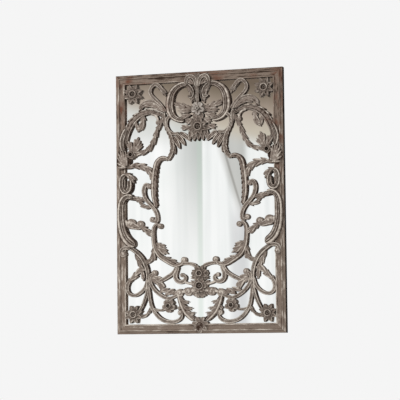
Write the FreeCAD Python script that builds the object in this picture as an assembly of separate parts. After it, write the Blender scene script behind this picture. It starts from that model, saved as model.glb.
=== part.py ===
import FreeCAD, Part
import math
import os

# Rectangular wall mirror in a carved, openwork wooden frame.
# Millimetres. X is to the right, Z is up, the front faces -Y.
# The origin is the middle of the bottom edge, halfway through the frame's depth.

# Driving dimensions of the frame
width = 800.0
height = 1200.0
rail_width = 45.0
rail_depth = 36.0

# Moulded face of the rails, from the outer edge inwards
bevel_width = 13.0
bevel_drop = 8.0
bevel_step = 3.0
fillet_width = 6.0
bead_width = 7.0
bead_drop = 2.0
hollow_drop = 5.0

# Glazing and backing, stacked from a recess in the back of the frame
back_recess = 8.0
backboard_thickness = 4.0
felt_thickness = 1.0
glass_thickness = 4.0
glass_cover = 12.0
backboard_cover = 10.0
edge_clearance = 1.0

# Openwork boards and the carving on them
border_thickness = 9.0
scroll_thickness = 11.0
opening_clearance = 0.5
scroll_width = 20.0
crown_share = 0.52
reed_share = 0.3
reed_offset_share = 0.27
dome_rise_share = 0.5
lobe_pitch = 24.0
lobe_depth_share = 0.42
lobe_lean_share = 0.18
lobe_round_share = 0.42
leaf_width_shares = (0.55, 0.95, 1.0, 0.75, 0.18)
upper_joint_share = 0.545
lower_joint_share = 0.345
joint_gap = 0.1

# Carvings laid on the boards and rails
applied_thickness = 8.0
flower_thickness = 6.0
carving_clearance = 0.3
bracket_room_share = 1.03
petal_gap_share = 0.78
pointed_gap_share = 0.55
petal_shoulder_share = 0.3
inner_ring_share = 0.62
button_share = 0.24
side_petals = 5
base_petals = 6
boss_petals = 7
corner_petals = 8
heart_petals = 9

# Mitre dowels
dowel_radius = 3.0
dowel_length = 24.0
dowel_clearance = 0.05
dowel_end_room = 0.5

# Screws
screw_radius = 1.75
screw_head_radius = 3.2
screw_head_height = 2.0
screw_length = 14.0
screw_clearance = 0.05
backboard_screw_pitch = 260.0

# Hanging plates and rings
ring_height_share = 0.78
wire_radius = 1.6
ring_half_width = 9.0
ring_corner_radius = 2.5
ring_arm = 6.0
running_clearance = 0.05
knuckle_wall = 1.2
plate_thickness = 1.5
plate_width = 12.0
plate_length = 46.0
plate_screw_margin = 7.0
ring_screw_gap = 0.5
ring_back_gap = 1.6

# Wall bumpers
bumper_radius = 9.0
bumper_thickness = 5.0

# Sizes worked out from those above
half_width = width / 2
back_y = rail_depth / 2
sight_x = half_width - rail_width
glass_wall = rail_width - glass_cover
board_wall = glass_wall - backboard_cover
felt_level = back_recess + backboard_thickness
glass_level = felt_level + felt_thickness
board_level = glass_level + glass_thickness
lip_level = board_level + border_thickness
scroll_level = board_level + scroll_thickness
front_level = rail_depth
applied_level = front_level + applied_thickness
flower_level = applied_level + flower_thickness


def at(x, z, level=0.0):
    """A point at a place on the front view and a height above the frame's back."""
    return FreeCAD.Vector(x, back_y - level, z)


def block(x0, x1, z0, z1, low, high):
    """A box between two corners of the front view and two levels."""
    return Part.makeBox(x1 - x0, high - low, z1 - z0, at(x0, z0, high))


def place(shares):
    """Turn shares of the half width and the height into a place."""
    return shares[0] * half_width, shares[1] * height


def fused(shapes):
    """One clean solid from shapes that touch or overlap."""
    whole = shapes[0].fuse(shapes[1:]).removeSplitter()
    return whole.Solids[0] if len(whole.Solids) == 1 else whole


def mirrored(shape):
    """The same shape on the other side of the centre line."""
    return shape.mirror(FreeCAD.Vector(0, 0, 0), FreeCAD.Vector(1, 0, 0))


def outline(edges):
    """A flat outline, drawn at the level of the frame's back."""
    return Part.Face(Part.Wire(Part.sortEdges(edges)[0]))


def rectangle(x0, x1, z0, z1):
    """A flat rectangle between two corners of the front view."""
    return Part.Face(Part.makePolygon([at(x0, z0), at(x1, z0), at(x1, z1), at(x0, z1), at(x0, z0)]))


def merged(outlines):
    """One flat outline from overlapping ones: its rim is every edge that only one of their fragments has."""
    if len(outlines) == 1:
        return outlines[0]
    fragments = outlines[0].fuse(outlines[1:])
    owners = {}
    for face in fragments.Faces:
        for edge in face.Edges:
            owners.setdefault(edge.hashCode(), []).append(edge)
    rim = [edges[0] for edges in owners.values() if len(edges) == 1]
    wires = [Part.Wire(group) for group in Part.sortEdges(rim)]
    return Part.makeFace(wires, "Part::FaceMakerBullseye")


def raised(flat, low, high):
    """A flat outline raised between two levels."""
    slab = flat.copy()
    slab.translate(FreeCAD.Vector(0, -low, 0))
    return slab.extrude(FreeCAD.Vector(0, low - high, 0))


def line(a, b):
    """A straight edge."""
    return Part.LineSegment(a, b).toShape()


def arc(a, b, c):
    """A round edge through three points."""
    return Part.Arc(a, b, c).toShape()


def curve(points):
    """A smooth edge through points."""
    if len(points) == 2:
        return line(points[0], points[1])
    spline = Part.BSplineCurve()
    spline.interpolate(points)
    return spline.toShape()


class Spine:
    """A smooth centre line with a width along it."""

    def __init__(self, rows):
        points = []
        for row in rows:
            x, z = place(row)
            points.append(at(x, z))
        self.line = Part.BSplineCurve()
        self.line.interpolate(points)
        self.length = self.line.length()
        first = self.line.FirstParameter
        self.stops = []
        for point in points:
            reach = self.line.parameter(point)
            run = self.line.length(first, reach) if reach > first else 0.0
            self.stops.append(run)
        self.widths = [row[2] * scroll_width for row in rows]

    def width_at(self, run):
        """The width at a distance along the centre line."""
        for i in range(len(self.stops) - 1):
            low, high = self.stops[i], self.stops[i + 1]
            if run <= high:
                part = (run - low) / (high - low)
                return self.widths[i] + part * (self.widths[i + 1] - self.widths[i])
        return self.widths[-1]

    def side(self, run, across):
        """A point beside the centre line: across is a distance to its left."""
        reach = self.line.parameterAtDistance(run, self.line.FirstParameter)
        point = self.line.value(reach)
        ahead = self.line.tangent(reach)[0]
        return FreeCAD.Vector(point.x - ahead.z * across, point.y, point.z + ahead.x * across)

    def smooth_side(self, sign, share, shift_share):
        """One smooth edge along the centre line."""
        points = []
        for i, run in enumerate(self.stops):
            across = self.widths[i] * (shift_share + sign * share / 2)
            points.append(self.side(run, across))
        return [curve(points)]

    def lobed_side(self, sign, share):
        """One edge of round leaf lobes that lean forward."""
        count = max(2, round(self.length / lobe_pitch))
        pitch = self.length / count
        edges = []
        for i in range(count):
            low = pitch * i
            high = pitch * (i + 1)
            peak = low + pitch * (0.5 + lobe_lean_share)
            notch = share * (1 - lobe_depth_share) / 2
            a = self.side(low, sign * self.width_at(low) * notch)
            b = self.side(peak, sign * self.width_at(peak) * share / 2)
            c = self.side(high, sign * self.width_at(high) * notch)
            chord = (a + c) * 0.5
            bulge = b - chord
            limit = a.distanceToPoint(c) * lobe_round_share
            if bulge.Length > limit:
                b = chord + bulge * (limit / bulge.Length)
            edges.append(arc(a, b, c))
        return edges


def ribbon(rows, left="smooth", right="smooth", share=1.0, shift_share=0.0):
    """The outline of a band of changing width, with smooth or lobed edges."""
    spine = Spine(rows)
    edges = []
    ends = []
    for sign, style in ((1, left), (-1, right)):
        if style == "smooth":
            side = spine.smooth_side(sign, share, shift_share)
        else:
            side = spine.lobed_side(sign, share)
        edges.extend(side)
        ends.append((side[0].valueAt(side[0].FirstParameter), side[-1].valueAt(side[-1].LastParameter)))
    for end, sense in ((0, -1), (1, 1)):
        a, c = ends[0][end], ends[1][end]
        reach = spine.line.LastParameter if end else spine.line.FirstParameter
        ahead = spine.line.tangent(reach)[0]
        middle = (a + c) * 0.5 + ahead * (sense * a.distanceToPoint(c) / 2)
        edges.append(arc(a, middle, c))
    return outline(edges)


def leaf_rows(base, tip, leaf_width, bend_share=0.0):
    """The centre line and widths of a leaf from its base to its tip."""
    bx, bz = base
    tx, tz = tip
    girth = leaf_width / scroll_width
    sway_x = (tz - bz) * height * bend_share / half_width
    sway_z = (bx - tx) * half_width * bend_share / height
    middle = ((bx + tx) / 2 + sway_x, (bz + tz) / 2 + sway_z)
    quarter = ((bx + middle[0]) / 2 + sway_x / 4, (bz + middle[1]) / 2 + sway_z / 4)
    last = ((tx + middle[0]) / 2 + sway_x / 4, (tz + middle[1]) / 2 + sway_z / 4)
    places = (base, quarter, middle, last, tip)
    return [(x, z, girth * share) for (x, z), share in zip(places, leaf_width_shares)]


def ball(row, low, high):
    """The round eye of a scroll: a short pin with a domed top."""
    x, z = place(row)
    radius = row[2] * scroll_width
    rise = min(radius, high - low) * dome_rise_share
    curvature = (radius ** 2 + rise ** 2) / (2 * rise)
    pin = Part.makeCylinder(radius, high - rise - low, at(x, z, low), FreeCAD.Vector(0, -1, 0))
    sphere = Part.makeSphere(curvature, at(x, z, high - curvature))
    reach = curvature
    cap = sphere.common(block(x - reach, x + reach, z - reach, z + reach, high - rise, high))
    return fused([pin, cap])


def petal_ring(x, z, inner, outer, count, turn_share=0.0, pointed=False):
    """The outline of a ring of petals round a centre."""
    edges = []
    step = 2 * math.pi / count

    def polar(radius, angle):
        return at(x + radius * math.sin(angle), z + radius * math.cos(angle))

    for i in range(count):
        middle = step * (i + turn_share)
        start = middle - step / 2
        end = middle + step / 2
        if pointed:
            shoulder = (inner + outer) / 2
            tip = polar(outer, middle)
            before = polar(shoulder, middle - step * petal_shoulder_share)
            after = polar(shoulder, middle + step * petal_shoulder_share)
            edges.append(curve([polar(inner, start), before, tip]))
            edges.append(curve([tip, after, polar(inner, end)]))
        else:
            edges.append(arc(polar(inner, start), polar(outer, middle), polar(inner, end)))
    return outline(edges)


def flower(x, z, radius, count, low, high, pointed=False):
    """A flower: an outer ring of petals, an inner ring and a round centre."""
    rise = (high - low) / 3
    gap_share = pointed_gap_share if pointed else petal_gap_share
    inner = radius * inner_ring_share
    button = radius * button_share
    outer_ring = petal_ring(x, z, radius * gap_share, radius, count, 0.0, pointed)
    inner_ring = petal_ring(x, z, inner * petal_gap_share, inner, count, 0.5)
    return fused([
        raised(outer_ring, low, low + rise),
        raised(inner_ring, low + rise, low + 2 * rise),
        Part.makeCylinder(button, rise, at(x, z, low + 2 * rise), FreeCAD.Vector(0, -1, 0)),
    ])


# Scrolls of the right half, each a list of places and widths.
# A place is a share of the half width from the centre line and a share of the height from the bottom.
# A width is a share of the scroll width.

crest_ring_shares = [
    (0.122, 0.909, 0.55), (0.084, 0.902, 0.65), (0.062, 0.917, 0.75), (0.082, 0.938, 0.85),
    (0.147, 0.953, 1.10), (0.230, 0.948, 1.45), (0.302, 0.927, 1.75), (0.338, 0.892, 2.00),
    (0.338, 0.858, 1.95), (0.303, 0.832, 1.60), (0.243, 0.818, 1.25), (0.170, 0.813, 1.00),
]
ring_hook_shares = [
    (0.305, 0.835, 0.70), (0.358, 0.829, 0.80), (0.385, 0.812, 0.75), (0.375, 0.790, 0.70),
    (0.343, 0.773, 0.75), (0.295, 0.764, 0.75), (0.235, 0.768, 0.60),
]
shoulder_shares = [
    (0.425, 0.848, 1.00), (0.410, 0.825, 0.90), (0.395, 0.796, 0.85), (0.352, 0.766, 1.00),
    (0.322, 0.738, 1.10), (0.316, 0.708, 1.10), (0.338, 0.683, 1.05), (0.380, 0.664, 1.00),
]
loop_shares = [
    (0.395, 0.850, 0.90), (0.470, 0.885, 0.85), (0.538, 0.908, 0.80), (0.578, 0.930, 0.80),
    (0.558, 0.950, 0.80), (0.513, 0.959, 0.90), (0.472, 0.953, 1.00), (0.435, 0.938, 0.90), (0.400, 0.922, 0.35),
]
curl_upper_shares = [
    (0.425, 0.855, 0.80), (0.500, 0.885, 0.70), (0.588, 0.895, 0.80), (0.655, 0.890, 0.75), (0.700, 0.875, 0.35),
]
curl_lower_shares = [
    (0.430, 0.845, 0.80), (0.513, 0.868, 0.60), (0.575, 0.872, 0.55), (0.645, 0.874, 0.40),
]
arch_shares = [
    (0.420, 0.835, 0.90), (0.490, 0.846, 0.95), (0.555, 0.853, 1.20), (0.635, 0.853, 1.50), (0.725, 0.842, 1.80),
    (0.800, 0.820, 1.90), (0.850, 0.792, 1.80), (0.880, 0.760, 1.50), (0.890, 0.732, 1.10),
]
arch_return_shares = [(0.575, 0.846, 0.60), (0.520, 0.840, 0.60), (0.490, 0.826, 0.60), (0.485, 0.812, 0.60)]
descent_shares = [
    (0.425, 0.835, 0.90), (0.450, 0.810, 0.95), (0.488, 0.788, 1.05), (0.513, 0.767, 1.15), (0.533, 0.748, 1.20),
    (0.560, 0.730, 1.20), (0.600, 0.712, 1.25), (0.660, 0.700, 1.20), (0.730, 0.694, 1.10), (0.800, 0.690, 1.00),
]
branch_shares = [
    (0.885, 0.636, 0.80), (0.800, 0.646, 1.30), (0.725, 0.647, 1.35), (0.650, 0.640, 1.25), (0.600, 0.627, 1.10),
    (0.572, 0.608, 0.95), (0.560, 0.590, 0.80),
]
oval_band_shares = [
    (0.370, 0.666, 1.00), (0.435, 0.671, 1.20), (0.493, 0.658, 1.40), (0.518, 0.633, 1.50), (0.533, 0.600, 1.50),
    (0.540, 0.567, 1.50), (0.540, 0.533, 1.40), (0.530, 0.508, 1.20), (0.518, 0.486, 0.90),
]
s_scroll_shares = [
    (0.608, 0.568, 0.60), (0.635, 0.574, 0.75), (0.665, 0.560, 0.80), (0.670, 0.538, 0.80), (0.645, 0.517, 0.85),
    (0.600, 0.500, 0.90), (0.555, 0.483, 0.95), (0.520, 0.465, 0.95), (0.505, 0.446, 0.90), (0.515, 0.429, 0.90),
    (0.545, 0.428, 0.70),
]
# Neck from the oval band to the eye of the S scroll: its two ends, height and width
scroll_neck_shares = (0.540, 0.600, 0.566, 0.80)
link_shares = [
    (0.610, 0.503, 0.80), (0.645, 0.512, 0.65), (0.690, 0.519, 0.60), (0.750, 0.524, 0.65), (0.905, 0.526, 0.80),
]
arm_collar_shares = [(0.905, 0.424, 2.40), (0.882, 0.425, 2.30), (0.858, 0.426, 1.80)]
arm_shares = [(0.880, 0.424, 1.60), (0.825, 0.420, 2.00), (0.765, 0.411, 1.30), (0.700, 0.409, 1.00)]
arm_leaf_shares = [(0.715, 0.415, 1.10), (0.680, 0.407, 1.55), (0.635, 0.395, 1.55), (0.570, 0.378, 0.90)]
lower_oval_shares = [
    (0.473, 0.413, 0.60), (0.515, 0.417, 0.80), (0.546, 0.404, 0.90), (0.555, 0.379, 0.95), (0.550, 0.354, 1.00),
    (0.538, 0.333, 1.10), (0.513, 0.313, 1.15), (0.475, 0.296, 1.15), (0.413, 0.281, 1.10), (0.350, 0.268, 1.05),
    (0.288, 0.260, 0.95), (0.228, 0.264, 0.80), (0.190, 0.276, 0.60),
]
spur_shares = [
    (0.545, 0.335, 0.90), (0.570, 0.304, 0.90), (0.580, 0.288, 0.85), (0.610, 0.280, 0.75), (0.665, 0.277, 0.70),
]
base_link_shares = [(0.280, 0.262, 0.80), (0.200, 0.266, 0.75), (0.120, 0.265, 0.75), (0.040, 0.255, 0.90)]
diagonal_shares = [
    (0.270, 0.258, 0.75), (0.313, 0.234, 0.65), (0.375, 0.218, 0.65), (0.438, 0.207, 0.65), (0.500, 0.197, 0.60),
]
volute_shares = [
    (0.255, 0.256, 0.75), (0.284, 0.234, 0.80), (0.297, 0.218, 0.85), (0.282, 0.202, 0.80), (0.238, 0.194, 0.80),
    (0.188, 0.199, 0.70), (0.170, 0.213, 0.60), (0.205, 0.223, 0.55),
]
volute_link_shares = [(0.190, 0.198, 0.60), (0.130, 0.190, 0.55), (0.070, 0.187, 0.60)]
main_scroll_shares = [
    (0.905, 0.325, 0.80), (0.863, 0.331, 0.90), (0.800, 0.323, 1.00), (0.738, 0.307, 1.10), (0.688, 0.288, 1.10),
    (0.655, 0.267, 1.10), (0.630, 0.242, 1.05), (0.620, 0.213, 1.00), (0.623, 0.188, 1.00), (0.633, 0.163, 0.90),
    (0.660, 0.132, 0.85), (0.693, 0.107, 0.80), (0.735, 0.084, 0.75),
]
sweep_shares = [
    (0.620, 0.185, 0.80), (0.608, 0.150, 0.80), (0.597, 0.125, 0.80), (0.578, 0.102, 0.85), (0.543, 0.082, 0.85),
    (0.493, 0.063, 0.90), (0.420, 0.049, 0.90), (0.350, 0.045, 0.90), (0.275, 0.049, 0.85), (0.225, 0.063, 0.75),
    (0.215, 0.077, 0.55),
]
corner_loop_shares = [
    (0.630, 0.210, 0.75), (0.665, 0.175, 0.80), (0.725, 0.156, 0.80), (0.795, 0.148, 0.80), (0.850, 0.155, 0.80),
    (0.875, 0.172, 0.80), (0.873, 0.190, 0.90), (0.845, 0.203, 0.95), (0.800, 0.217, 1.00), (0.755, 0.233, 0.95),
    (0.720, 0.252, 0.50),
]
festoon_shares = [
    (0.550, 0.231, 0.60), (0.592, 0.222, 0.80), (0.595, 0.200, 0.85), (0.565, 0.177, 0.85), (0.513, 0.158, 0.85),
    (0.450, 0.143, 0.85), (0.390, 0.135, 0.80), (0.330, 0.138, 0.75), (0.250, 0.150, 0.70),
]
bud_link_shares = [(0.260, 0.152, 0.80), (0.190, 0.160, 0.75), (0.120, 0.161, 0.75), (0.050, 0.163, 0.80)]
drop_leaf_shares = [
    (0.250, 0.150, 0.95), (0.232, 0.126, 1.15), (0.205, 0.104, 1.25), (0.170, 0.083, 1.25), (0.125, 0.067, 1.15),
    (0.070, 0.050, 0.95),
]
spray_shares = [(0.590, 0.098, 0.60), (0.500, 0.090, 0.60), (0.450, 0.091, 0.60), (0.390, 0.100, 0.60)]
spray_link_shares = [(0.370, 0.106, 0.60), (0.352, 0.120, 0.60), (0.335, 0.136, 0.60)]
corner_leaf_shares = [(0.592, 0.106, 0.60), (0.620, 0.083, 0.80), (0.660, 0.072, 0.85), (0.730, 0.072, 0.80)]

# Leaves: base place, tip place, width as a share of the scroll width, sideways bend as a share of the length
upper_leaf_shares = [
    ((0.150, 0.950), (0.075, 0.885), 0.95, 0.12),
    ((0.060, 0.858), (0.283, 0.882), 1.30, 0.05),
    ((0.080, 0.846), (0.205, 0.843), 1.10, 0.00),
    ((0.090, 0.833), (0.190, 0.825), 1.00, 0.00),
    ((0.110, 0.790), (0.190, 0.784), 1.10, 0.00),
    ((0.030, 0.785), (0.055, 0.733), 1.10, 0.00),
    ((0.075, 0.785), (0.115, 0.733), 1.05, 0.00),
    ((0.215, 0.768), (0.098, 0.733), 1.05, 0.05),
    ((0.265, 0.762), (0.165, 0.719), 1.05, 0.05),
    ((0.310, 0.755), (0.230, 0.708), 1.05, 0.05),
    ((0.330, 0.735), (0.290, 0.687), 0.95, 0.05),
    ((0.655, 0.850), (0.712, 0.782), 1.45, 0.10),
    ((0.780, 0.700), (0.743, 0.748), 1.25, 0.00),
    ((0.770, 0.700), (0.705, 0.727), 1.00, 0.00),
    ((0.810, 0.700), (0.840, 0.737), 1.00, 0.00),
]
middle_leaf_shares = [((0.600, 0.494), (0.705, 0.497), 0.85, 0.10), ((0.760, 0.522), (0.735, 0.505), 0.70, 0.00)]
lower_leaf_shares = [
    ((0.530, 0.330), (0.393, 0.313), 1.25, 0.10),
    ((0.470, 0.295), (0.283, 0.282), 1.15, 0.10),
    ((0.735, 0.305), (0.785, 0.285), 0.80, 0.00),
    ((0.690, 0.290), (0.750, 0.260), 0.85, 0.10),
    ((0.655, 0.265), (0.685, 0.225), 0.80, 0.10),
    ((0.590, 0.205), (0.445, 0.168), 1.40, 0.15),
    ((0.590, 0.215), (0.480, 0.200), 1.00, 0.10),
    ((0.430, 0.140), (0.315, 0.168), 1.10, 0.10),
]

# Round ends and eyes: place and radius as a share of the scroll width
middle_ball_shares = [
    (0.600, 0.566, 0.65), (0.564, 0.437, 0.66), (0.470, 0.411, 0.65), (0.712, 0.420, 0.90), (0.825, 0.423, 1.20),
]
upper_ball_shares = [(0.485, 0.811, 0.60)]
lower_ball_shares = [
    (0.188, 0.279, 0.75), (0.212, 0.222, 0.50), (0.237, 0.080, 0.65), (0.545, 0.232, 0.70),
    (0.245, 0.158, 0.75), (0.146, 0.1615, 0.86),
]

# Applied carvings over the rails and stiles
arch_tail_shares = [(0.868, 0.790, 1.00), (0.905, 0.765, 1.30), (0.925, 0.735, 1.30), (0.905, 0.705, 1.10)]
shell_leaf_shares = [
    ((0.830, 0.660), (0.975, 0.722), 1.70), ((0.830, 0.655), (0.985, 0.694), 1.70),
    ((0.830, 0.650), (0.985, 0.666), 1.70), ((0.850, 0.645), (0.975, 0.640), 1.60),
    ((0.960, 0.706), (0.850, 0.670), 1.20),
]
ring_leaf_shares = [((0.890, 0.616), (0.782, 0.588), 1.10, 0.12)]
side_ring_shares = [
    (0.880, 0.613, 1.05), (0.915, 0.606, 1.20), (0.935, 0.585, 1.25), (0.928, 0.560, 1.25), (0.893, 0.546, 1.20),
    (0.852, 0.551, 1.15), (0.832, 0.570, 1.05), (0.832, 0.586, 0.90),
]
bracket_shares = [
    (0.800, 0.526, 1.20), (0.860, 0.529, 1.25), (0.910, 0.519, 1.45), (0.940, 0.492, 1.70), (0.945, 0.458, 1.85),
    (0.940, 0.424, 1.95), (0.920, 0.393, 2.10), (0.880, 0.366, 2.20), (0.825, 0.348, 2.20), (0.775, 0.338, 2.05),
]
eye_scroll_shares = [(0.945, 0.310, 0.80), (0.930, 0.325, 0.85), (0.885, 0.331, 0.90), (0.835, 0.329, 0.90)]
eye_shares = (0.918, 0.307, 0.75)
fleur_shares = [
    (0.010, 0.945, 0.60), (0.022, 0.965, 0.60), (0.060, 0.982, 0.65), (0.115, 0.982, 0.65), (0.135, 0.967, 0.55),
    (0.112, 0.955, 0.45),
]
fleur_leaf_shares = [((0.030, 0.975), (0.140, 0.996), 0.80), ((0.020, 0.955), (0.085, 0.955), 0.60)]
stem_shares = (0.028, 0.868, 0.985)

# Corner flowers, top and bottom: inset from the stile and from the rail as shares of the radius,
# and the radius as a share of the scroll width
corner_flower_shares = ((0.855, 0.938, 2.40), (0.840, 1.020, 2.20))

# Other flowers: place and radius as a share of the scroll width
side_flower_shares = (0.812, 0.690, 1.05)
spray_flower_shares = (0.372, 0.106, 1.30)
crest_flower_shares = (0.000, 0.856, 1.45)
crest_rosette_shares = (0.000, 0.788, 2.15)
base_flower_shares = ((0.000, 0.228, 1.90), (0.000, 0.181, 1.45))
boss_petal_shares = (0.000, 0.034, 1.90)
boss_eye_shares = (0.000, 0.023, 1.15)
heart_shares = ((0.000, 0.790, 3.00), (0.000, 0.853, 1.90))
base_cluster_shares = ((0.000, 0.228, 2.10), (0.000, 0.186, 1.90), (0.000, 0.160, 1.60))


def corner_flowers():
    """The places and radii of the corner flowers, top first, in the same shares as the other flowers."""
    rows = []
    for (side_share, end_share, radius_share), end in zip(corner_flower_shares, (1, -1)):
        radius = radius_share * scroll_width
        x = sight_x - side_share * radius
        z = height / 2 + end * (height / 2 - rail_width - end_share * radius)
        rows.append((x / half_width, z / height, radius_share))
    return rows


def rail_section(end):
    """The moulded section of a rail, drawn across its end: distance in from the outer edge, level from the back."""
    fillet_in = bevel_width + fillet_width
    bead_in = rail_width - bead_width
    corners = [
        (board_wall, 0.0),
        (0.0, 0.0),
        (0.0, front_level - bevel_drop),
        (bevel_width, front_level - bevel_step),
        (bevel_width, front_level),
        (fillet_in, front_level),
        (fillet_in, front_level - bevel_step),
        ((fillet_in + bead_in) / 2, front_level - hollow_drop),
        (bead_in, front_level - bevel_step),
        (bead_in, front_level - bead_drop),
        (rail_width, front_level - bead_drop),
        (rail_width, lip_level),
        (glass_wall, lip_level),
        (glass_wall, felt_level),
        (board_wall, felt_level),
    ]
    points = [end(inset, level) for inset, level in corners]
    points.append(points[0])
    return Part.Face(Part.makePolygon(points))


def mitre_cutter(long_side):
    """A slab over the whole frame whose ends are cut at the mitres: what is left is one rail's share."""
    reach = rail_width
    if long_side:
        corners = [(half_width, 0.0), (half_width - reach, reach), (half_width - reach, height - reach), (half_width, height)]
    else:
        corners = [(-half_width, 0.0), (reach - half_width, reach), (half_width - reach, reach), (half_width, 0.0)]
    points = [at(x, z) for x, z in corners]
    points.append(points[0])
    face = Part.Face(Part.makePolygon(points))
    return face.extrude(FreeCAD.Vector(0, -front_level, 0))


def stile():
    """The right stile with its mitred ends."""
    section = rail_section(lambda inset, level: at(half_width - inset, 0.0, level))
    bar = section.extrude(FreeCAD.Vector(0, 0, height))
    return bar.common(mitre_cutter(True))


def bottom_rail():
    """The bottom rail with its mitred ends."""
    section = rail_section(lambda inset, level: at(-half_width, inset, level))
    bar = section.extrude(FreeCAD.Vector(width, 0, 0))
    return bar.common(mitre_cutter(False))


def turned_over(shape):
    """The same shape at the other end of the height."""
    return shape.mirror(FreeCAD.Vector(0, 0, height / 2), FreeCAD.Vector(0, 0, 1))


def dowels(radius, length):
    """Two round dowels square across each mitre."""
    inset = glass_wall / 2
    room = dowel_radius + dowel_end_room
    levels = (felt_level + room, lip_level - room)
    pins = []
    for side in (-1, 1):
        for end in (-1, 1):
            x = side * (half_width - inset)
            z = height / 2 + end * (height / 2 - inset)
            along = FreeCAD.Vector(side, 0, -end).normalize()
            for level in levels:
                start = at(x, z, level) - along * (length / 2)
                pins.append(Part.makeCylinder(radius, length, start, along))
    return pins


def screw(x, z, seat):
    """A screw from the back: a pan head on a seat level and a shank into the wood."""
    head = Part.makeCylinder(screw_head_radius, screw_head_height, at(x, z, seat), FreeCAD.Vector(0, 1, 0))
    shank = Part.makeCylinder(screw_radius, screw_length, at(x, z, seat), FreeCAD.Vector(0, -1, 0))
    return head.fuse(shank).removeSplitter()


def screw_hole(x, z, seat):
    """The hole that a screw fills."""
    room = screw_radius + screw_clearance
    depth = screw_length + screw_clearance
    return Part.makeCylinder(room, depth, at(x, z, seat), FreeCAD.Vector(0, -1, 0))


def backboard_screw_places():
    """Screws along the edges of the backboard, evenly spaced."""
    inset = (board_wall + glass_wall) / 2
    places = []
    rows = int(height // backboard_screw_pitch)
    for i in range(rows + 1):
        z = inset + (height - 2 * inset) * (i + 0.5) / (rows + 1)
        for side in (-1, 1):
            places.append((side * (half_width - inset), z))
    columns = int(width // backboard_screw_pitch)
    for i in range(columns):
        x = (2 * (i + 0.5) / columns - 1) * (half_width - 2 * inset)
        for z in (inset, height - inset):
            places.append((x, z))
    return places


def hanger_place():
    """Where the right hanging ring turns: its axis height and distance from the centre."""
    return half_width - board_wall / 2, ring_height_share * height


def hanger_screw_places():
    """The two screws of each hanging plate."""
    x, z = hanger_place()
    ring_length = ring_corner_radius + ring_arm + ring_half_width + wire_radius
    top = z - ring_length - ring_screw_gap - screw_head_radius
    bottom = z - plate_length + plate_screw_margin
    places = []
    for side in (-1, 1):
        places.append((side * x, top))
        places.append((side * x, bottom))
    return places


def ring_axis_level():
    """How far behind the frame's back the ring's axis lies, as a level."""
    return -(wire_radius + ring_back_gap)


def hanger_plate():
    """The right hanging plate: a strip with its top rolled into a knuckle."""
    x, z = hanger_place()
    level = ring_axis_level()
    outer = wire_radius + running_clearance + knuckle_wall
    strip = block(x - plate_width / 2, x + plate_width / 2, z - plate_length, z, -plate_thickness, 0.0)
    start = at(x - plate_width / 2, z, level)
    along = FreeCAD.Vector(1, 0, 0)
    roll = Part.makeCylinder(outer, plate_width, start, along)
    bore = Part.makeCylinder(wire_radius + running_clearance, plate_width, start, along)
    keep = block(x - plate_width, x + plate_width, z - plate_length, z + plate_length, -plate_length, 0.0)
    plate = strip.fuse(roll).common(keep).cut(bore)
    for hole_x, hole_z in hanger_screw_places():
        plate = plate.cut(screw_hole(hole_x, hole_z, -plate_thickness))
    return plate.removeSplitter()


def hanger_ring():
    """The right hanging ring: a D of round wire, hanging down from its straight bar."""
    x, z = hanger_place()
    level = ring_axis_level()
    reach = ring_half_width
    corner = ring_corner_radius
    low = corner + ring_arm
    half = math.sqrt(0.5)

    def point(across, down):
        return at(x + across, z - down, level)

    edges = [
        line(point(0.0, 0.0), point(reach - corner, 0.0)),
        arc(
            point(reach - corner, 0.0),
            point(reach - corner * (1 - half), corner * (1 - half)),
            point(reach, corner),
        ),
        line(point(reach, corner), point(reach, low)),
        arc(point(reach, low), point(reach * half, low + reach * half), point(0.0, low + reach)),
    ]
    path = Part.Wire(edges)
    section = Part.Wire(Part.makeCircle(wire_radius, point(0.0, 0.0), FreeCAD.Vector(1, 0, 0)))
    half_ring = path.makePipeShell([section], True, False)
    turned = half_ring.mirror(FreeCAD.Vector(x, 0, 0), FreeCAD.Vector(1, 0, 0))
    return half_ring.fuse(turned).removeSplitter()


def bumpers():
    """Soft round bumpers on the back, at the bottom corners."""
    inset = board_wall / 2
    pads = []
    for side in (-1, 1):
        centre = at(side * (half_width - inset), inset)
        pads.append(Part.makeCylinder(bumper_radius, bumper_thickness, centre, FreeCAD.Vector(0, 1, 0)))
    return pads


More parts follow.
